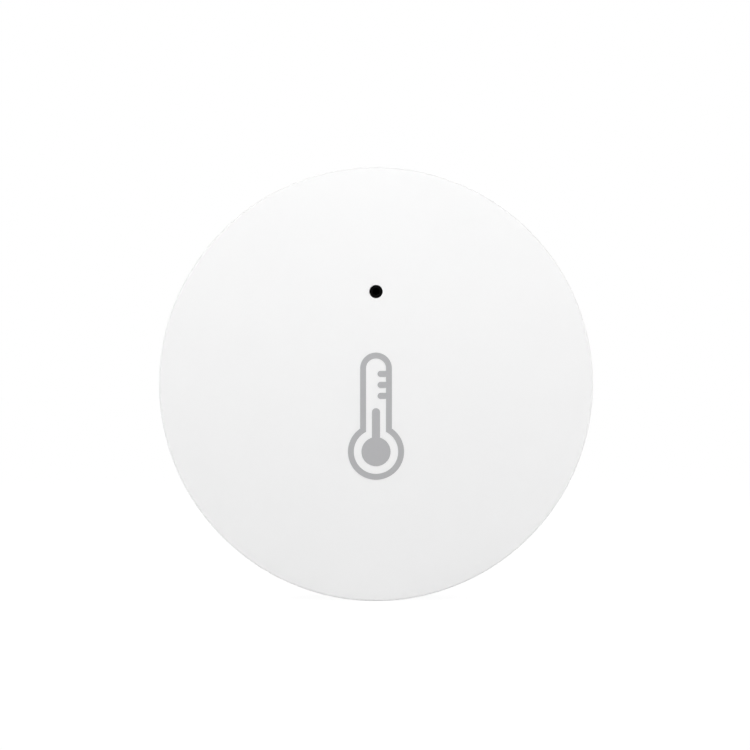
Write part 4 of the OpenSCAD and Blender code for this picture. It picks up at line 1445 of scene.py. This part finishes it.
def capacitor_grid(name, mesh, material, columns=CAP_COLUMNS):
    """A mesh in the rows of the capacitors."""
    sizes = {"Columns": columns, "Rows": CAP_ROWS, "Pitch across": CAP_PITCH_X, "Pitch up": CAP_PITCH_Y}
    made = grown(name, mesh, material, sizes, grid)
    made.transform(Matrix.Translation((*middle("board_passives"), CAP_Z0)))
    return made


def board_passives():
    """Small capacitors in rows: fired ceramic between two tinned ends."""
    x, y, tall = CAP_L / 2, CAP_W / 2, CAP_Z1 - CAP_Z0
    end_l, end_soft, under_end, skin, soft = 0.22, 0.05, 0.1, 0.02, 0.03
    body = block(under_end - x, x - under_end, skin - y, y - skin, skin, tall - skin, soft=soft)
    ends = both_ends(-x, x, end_l, -y, y, 0, tall, soft=end_soft)
    ceramic = fired_brown_ceramic()
    return piece("board_passives", (capacitor_grid("capacitor_bodies", body, ceramic), ceramic),
                 (capacitor_grid("capacitor_ends", ends, TIN), TIN))


def antenna_trace():
    """Aerial: one track that goes up and down in fingers, its edges etched slightly inwards."""
    (left, right), (bottom, top), levels = spans("antenna_trace")
    fingers = 7
    etch = 0.02
    pitch = (right - left - AERIAL_W) / fingers
    ends = (bottom + AERIAL_W / 2, top - AERIAL_W / 2)
    path = []
    for i in range(fingers + 1):
        x = left + AERIAL_W / 2 + i * pitch
        path += [(x, y) for y in (ends if i % 2 == 0 else ends[::-1])]
    rings = []
    for width, z in zip((AERIAL_W, AERIAL_W - 2 * etch), levels):
        rings.append([(x, y, z) for x, y in track_outline(path, width)])
    return piece("antenna_trace", (lofted(rings), GOLD))


def switch_body():
    """Side push switch: nylon body with the plunger's mouth, under a folded steel cover with feet."""
    (left, right), (bottom, top), (low, high) = spans("switch_body")
    sheet, sheet_soft, body_soft, mouth_soft = 0.15, 0.04, 0.08, 0.05
    inset, short, lip = 0.1, 0.05, 0.1
    mouth_half_w, mouth_half_h, mouth_depth = 1.0, 0.55, 0.9
    foot_low, foot_high = 0.4, 0.5
    body = block(left + inset, right - inset, bottom + short, top, low + sheet, high - short, soft=body_soft)
    mouth = block(-mouth_half_w, mouth_half_w, top - mouth_depth, top + BEYOND, BUTTON_Z - mouth_half_h,
                  BUTTON_Z + mouth_half_h, soft=mouth_soft)
    body = carved(body, cut=[mouth])
    cover = block(left, right, bottom, top - lip, low, low + sheet, soft=sheet_soft)
    feet = both_ends(left, right, sheet, bottom + foot_low, top - foot_high, low + short, high,
                     soft=sheet_soft)
    return piece("switch_body", (body, moulded_black_nylon()), (joined(cover, feet), TIN))


def switch_plunger():
    """Plunger of the switch: a small nylon block with a crowned end."""
    x, y, z = spans("switch_plunger")
    mesh = block(*x, *y, *z, soft=0.14)
    return piece("switch_plunger", (mesh, moulded_pale_nylon()))


# Battery contacts and coin cell

CONTACT_SHEET = 0.2
BOW_Z = 5.2
BOW_HALF = 0.7
CELL_SHEET = 0.3
CELL_STEP = 0.04
CELL_STAMP = 0.1


def negative_contact():
    """Leaf that presses on the cell: a soldered foot, a sprung arm and a forked tip with a rounded nose."""
    (left, right), (_, half_w), (low, high) = spans("negative_contact")
    foot_z, tip_z = high - CONTACT_SHEET / 2, low + CONTACT_SHEET / 2
    fork_half, fork_end = 0.25, 0.5
    path = [(right, foot_z), (LEAF_FOOT_X, foot_z), (3.1, foot_z - 0.03), (2.8, foot_z - 0.1)]
    path += line((2.4, foot_z - 0.2), (-1.7, tip_z + 0.1), 10)
    path += [(-2.0, tip_z + 0.02), (-2.2, tip_z), (left, tip_z + 0.12)]
    leaf = strip(path, CONTACT_SHEET, -half_w, half_w)
    fork = block(left - BEYOND, fork_end, -fork_half, fork_half, low - BEYOND, high + BEYOND)
    return piece("negative_contact", (carved(leaf, cut=[fork]), BRONZE))


def positive_contact():
    """Strip beside the cell: a foot on the board, an upright, and a bow that presses on the cell's side."""
    (left, right), (_, half_w), (low, high) = spans("positive_contact")
    step, steps, bend_r, bend_drop = 0.06, 34, 0.2, 0.3
    bow = right - CONTACT_SHEET / 2 - CLIP_WALL_X
    path = [(CLIP_WALL_X, low)]
    for z in [low + step * i for i in range(1, steps)]:
        share = max(0.0, 1 - abs(z - BOW_Z) / BOW_HALF)
        path.append((CLIP_WALL_X + bow * math.sin(share * math.pi / 2) ** 2, z))
    bend = arc(CLIP_WALL_X - bend_r, high - bend_drop, bend_r, 0, 90, 5)
    path += [(x, z) for x, z in bend if z > path[-1][1]]
    path.append((left, high - CONTACT_SHEET / 2))
    return piece("positive_contact", (strip(path, CONTACT_SHEET, -half_w, half_w), BRONZE))


def cell_can():
    """Drawn can of the coin cell: soft corner, crimped rim, a shallow ring and a plus sign in its face."""
    corner, crimp, inner_corner, rim_drop = 0.6, 0.2, 0.3, 0.05
    ring_in, ring_out = 7.6, 7.8
    arm, half = 1.6, 0.25
    inner = CELL_R - CELL_SHEET
    outline = [(0, CELL_Z0 + CELL_STEP), (ring_in, CELL_Z0 + CELL_STEP), (ring_out, CELL_Z0)]
    outline += eased(CELL_R, CELL_Z0, corner, 270, 8)
    outline += eased(CELL_R, CELL_RIM_Z, crimp, 0, 6)
    outline += [(inner, CELL_RIM_Z - rim_drop)]
    outline += arc(inner - inner_corner, CELL_Z0 + CELL_SHEET + inner_corner, inner_corner, 0, -90, 6)
    outline += [(0, CELL_Z0 + CELL_SHEET)]
    plus = []
    for angle in (0, 90, 180, 270):
        turn = Matrix.Rotation(math.radians(angle), 2)
        plus += [turn @ Vector(point) for point in ((arm, -half), (arm, half), (half, half))]
    stamp = prism(plus, CELL_Z0 - BEYOND, CELL_Z0 + CELL_STAMP)
    return piece("cell_can", (carved(turned(outline), cut=[stamp]), CELL_STEEL))


def cell_cap():
    """Cap of the coin cell: a shallow cup with a soft shoulder, standing out of the seal."""
    corner = 0.45
    ring_in, ring_out = 7.0, 7.2
    cap_r = across("cell_cap")[1]
    low = depth("cell_cap")[0]
    outline = [(cap_r - CELL_SHEET, low), (cap_r, low)]
    outline += eased(cap_r, CELL_Z1, corner, 0, 8)
    outline += [(ring_out, CELL_Z1), (ring_in, CELL_Z1 - CELL_STEP), (0, CELL_Z1 - CELL_STEP)]
    outline += [(0, CELL_Z1 - CELL_SHEET)]
    outline += arc(cap_r - corner, CELL_Z1 - corner, corner - CELL_SHEET, 90, 0, 5)
    return piece("cell_cap", (turned(outline), CELL_STEEL))


def cell_seal():
    """Seal of the coin cell: a ring squeezed between can and cap, its lip rolled over."""
    low, high = depth("cell_seal")
    fit, foot, soft = 0.03, 0.2, 0.25
    outer = across("cell_seal")[1]
    inner = across("cell_cap")[1] + fit
    outline = [(inner, low), (outer - foot, low), (outer, low + foot)]
    outline += eased(outer, high, soft, 0, 5)
    outline += eased(inner, high, soft, 90, 5)
    return piece("cell_seal", (turned(outline), moulded_grey_gasket()))


def cell_core():
    """Inside of the coin cell, one disc: the pressed pellet with worn edges."""
    low, high = depth("cell_core")
    r = across("cell_core")[1]
    soft = 0.2
    outline = [(0, low)] + eased(r, low, soft, 270, 4)
    outline += eased(r, high, soft, 0, 4) + [(0, high)]
    return piece("cell_core", (turned(outline), pressed_black_pellet()))


for make in (front_shell, face_icon, port_sleeve, port_mesh, reset_button, back_shell, battery_cover,
             adhesive_ring, circuit_board, board_screws, radio_chip, crystal, sensor_chip, status_led,
             board_passives, antenna_trace, switch_body, switch_plunger, negative_contact,
             positive_contact, cell_can, cell_cap, cell_seal, cell_core):
    make()


# Studio

PHOTO_SIDE = 750
DISC_MIDDLE = (376.0, 384.0)
DISC_RADIUS = 217.0
LENS = 150.0
SENSOR = 36.0
NEAREST, FARTHEST = 0.01, 20
SKY = 0.465
PAPER = "#F4F4F4"
SHADOW = 0.12
FLOOR_HALF = 2.0
FACE_MIDDLE = (0, -FRONT_Z * MM, 0)
BODY_MIDDLE = (0, 0, 0)

# Lamps: place, what it points at and size, in metres, and power in watts
LAMPS = {
    "key": ((0, -0.0765, 0.05), FACE_MIDDLE, (0.2, 0.03), 0.0543),
    "back_fill": ((0, 0.16, 0.13), BODY_MIDDLE, (0.16, 0.08), 0.13),
    "left_fill": ((-0.22, 0, 0.04), BODY_MIDDLE, (0.05, 0.05), 0.04),
    "right_fill": ((0.22, 0, 0.04), BODY_MIDDLE, (0.05, 0.05), 0.04),
}


def seen_by_eye(tree):
    """1 for rays that show the background to the camera, in a gloss or through something clear, else 0."""
    path = add(tree, "ShaderNodeLightPath").outputs
    eye = maths(tree, "MAXIMUM", path["Is Camera Ray"], path["Is Glossy Ray"])
    return maths(tree, "MAXIMUM", eye, path["Is Transmission Ray"])


def white_world():
    """Soft light from all round, in front of a white background."""
    world = bpy.data.worlds.new("white_studio")
    world.use_nodes = True
    tree = world.node_tree
    tree.nodes.clear()
    level = add(tree, "ShaderNodeMapRange", {"Value": seen_by_eye(tree), "To Min": SKY, "To Max": 1.0})
    sky = add(tree, "ShaderNodeBackground", {"Color": linear("#FFFFFF"), "Strength": level})
    add(tree, "ShaderNodeOutputWorld", {"Surface": sky})
    bpy.context.scene.world = world


def pale_floor():
    """Pale floor under the object: white to the eye far from it, with a share of the object's shadow."""
    mesh = bpy.data.meshes.new("floor")
    corners = [(x * FLOOR_HALF, y * FLOOR_HALF, cad_low.z) for x, y in ((-1, -1), (1, -1), (1, 1), (-1, 1))]
    mesh.from_pydata(corners, [], [(0, 1, 2, 3)])
    floor = on_bench(mesh)
    floor.name = "floor"
    material = bpy.data.materials.new("matt_white_paper")
    material.use_nodes = True
    tree = material.node_tree
    tree.nodes.clear()
    paper = add(tree, "ShaderNodeBsdfDiffuse", {"Color": linear(PAPER)})
    # Far off, the sky alone lights the paper. The glow makes up what the paper then lacks of white.
    glow = (1 - SHADOW * SKY * linear(PAPER)[0]) / (1 - SHADOW)
    white = add(tree, "ShaderNodeEmission", {"Color": linear("#FFFFFF"), "Strength": glow})
    share = add(tree, "ShaderNodeMapRange", {"Value": seen_by_eye(tree), "To Min": 0.0, "To Max": 1 - SHADOW})
    mix = add(tree, "ShaderNodeMixShader", {0: share, 1: paper, 2: white})
    add(tree, "ShaderNodeOutputMaterial", {"Surface": mix})
    mesh.materials.append(material)


def soft_lamp(name, place, target, size, watts):
    """A wide soft lamp that the camera doesn't see."""
    data = bpy.data.lights.new(name, "AREA")
    data.shape = "RECTANGLE"
    data.size, data.size_y = size
    data.energy = watts
    lamp = bpy.data.objects.new(name, data)
    lamp.location = place
    lamp.rotation_euler = (Vector(target) - Vector(place)).to_track_quat("-Z", "Y").to_euler()
    lamp.visible_camera = False
    bpy.context.scene.collection.objects.link(lamp)


def camera():
    """Straight on to the face, as far off as makes the disc as large as in the photograph."""
    pixel = BODY_R / DISC_RADIUS
    distance = PHOTO_SIDE * pixel * LENS / SENSOR
    rim_z = FRONT_Z - CROWN - EDGE_R
    data = bpy.data.cameras.new("camera")
    data.lens = LENS
    data.sensor_width = SENSOR
    data.clip_start = NEAREST
    data.clip_end = FARTHEST
    eye = bpy.data.objects.new("camera", data)
    right = (PHOTO_SIDE / 2 - DISC_MIDDLE[0]) * pixel
    up = (DISC_MIDDLE[1] - PHOTO_SIDE / 2) * pixel
    eye.location = (right * MM, -(rim_z + distance) * MM, up * MM)
    eye.rotation_euler = (math.pi / 2, 0, 0)
    bpy.context.scene.collection.objects.link(eye)
    bpy.context.scene.camera = eye


white_world()
pale_floor()
for name, (place, target, size, watts) in LAMPS.items():
    soft_lamp(name, place, target, size, watts)
camera()
bpy.context.scene.view_settings.view_transform = "Standard"
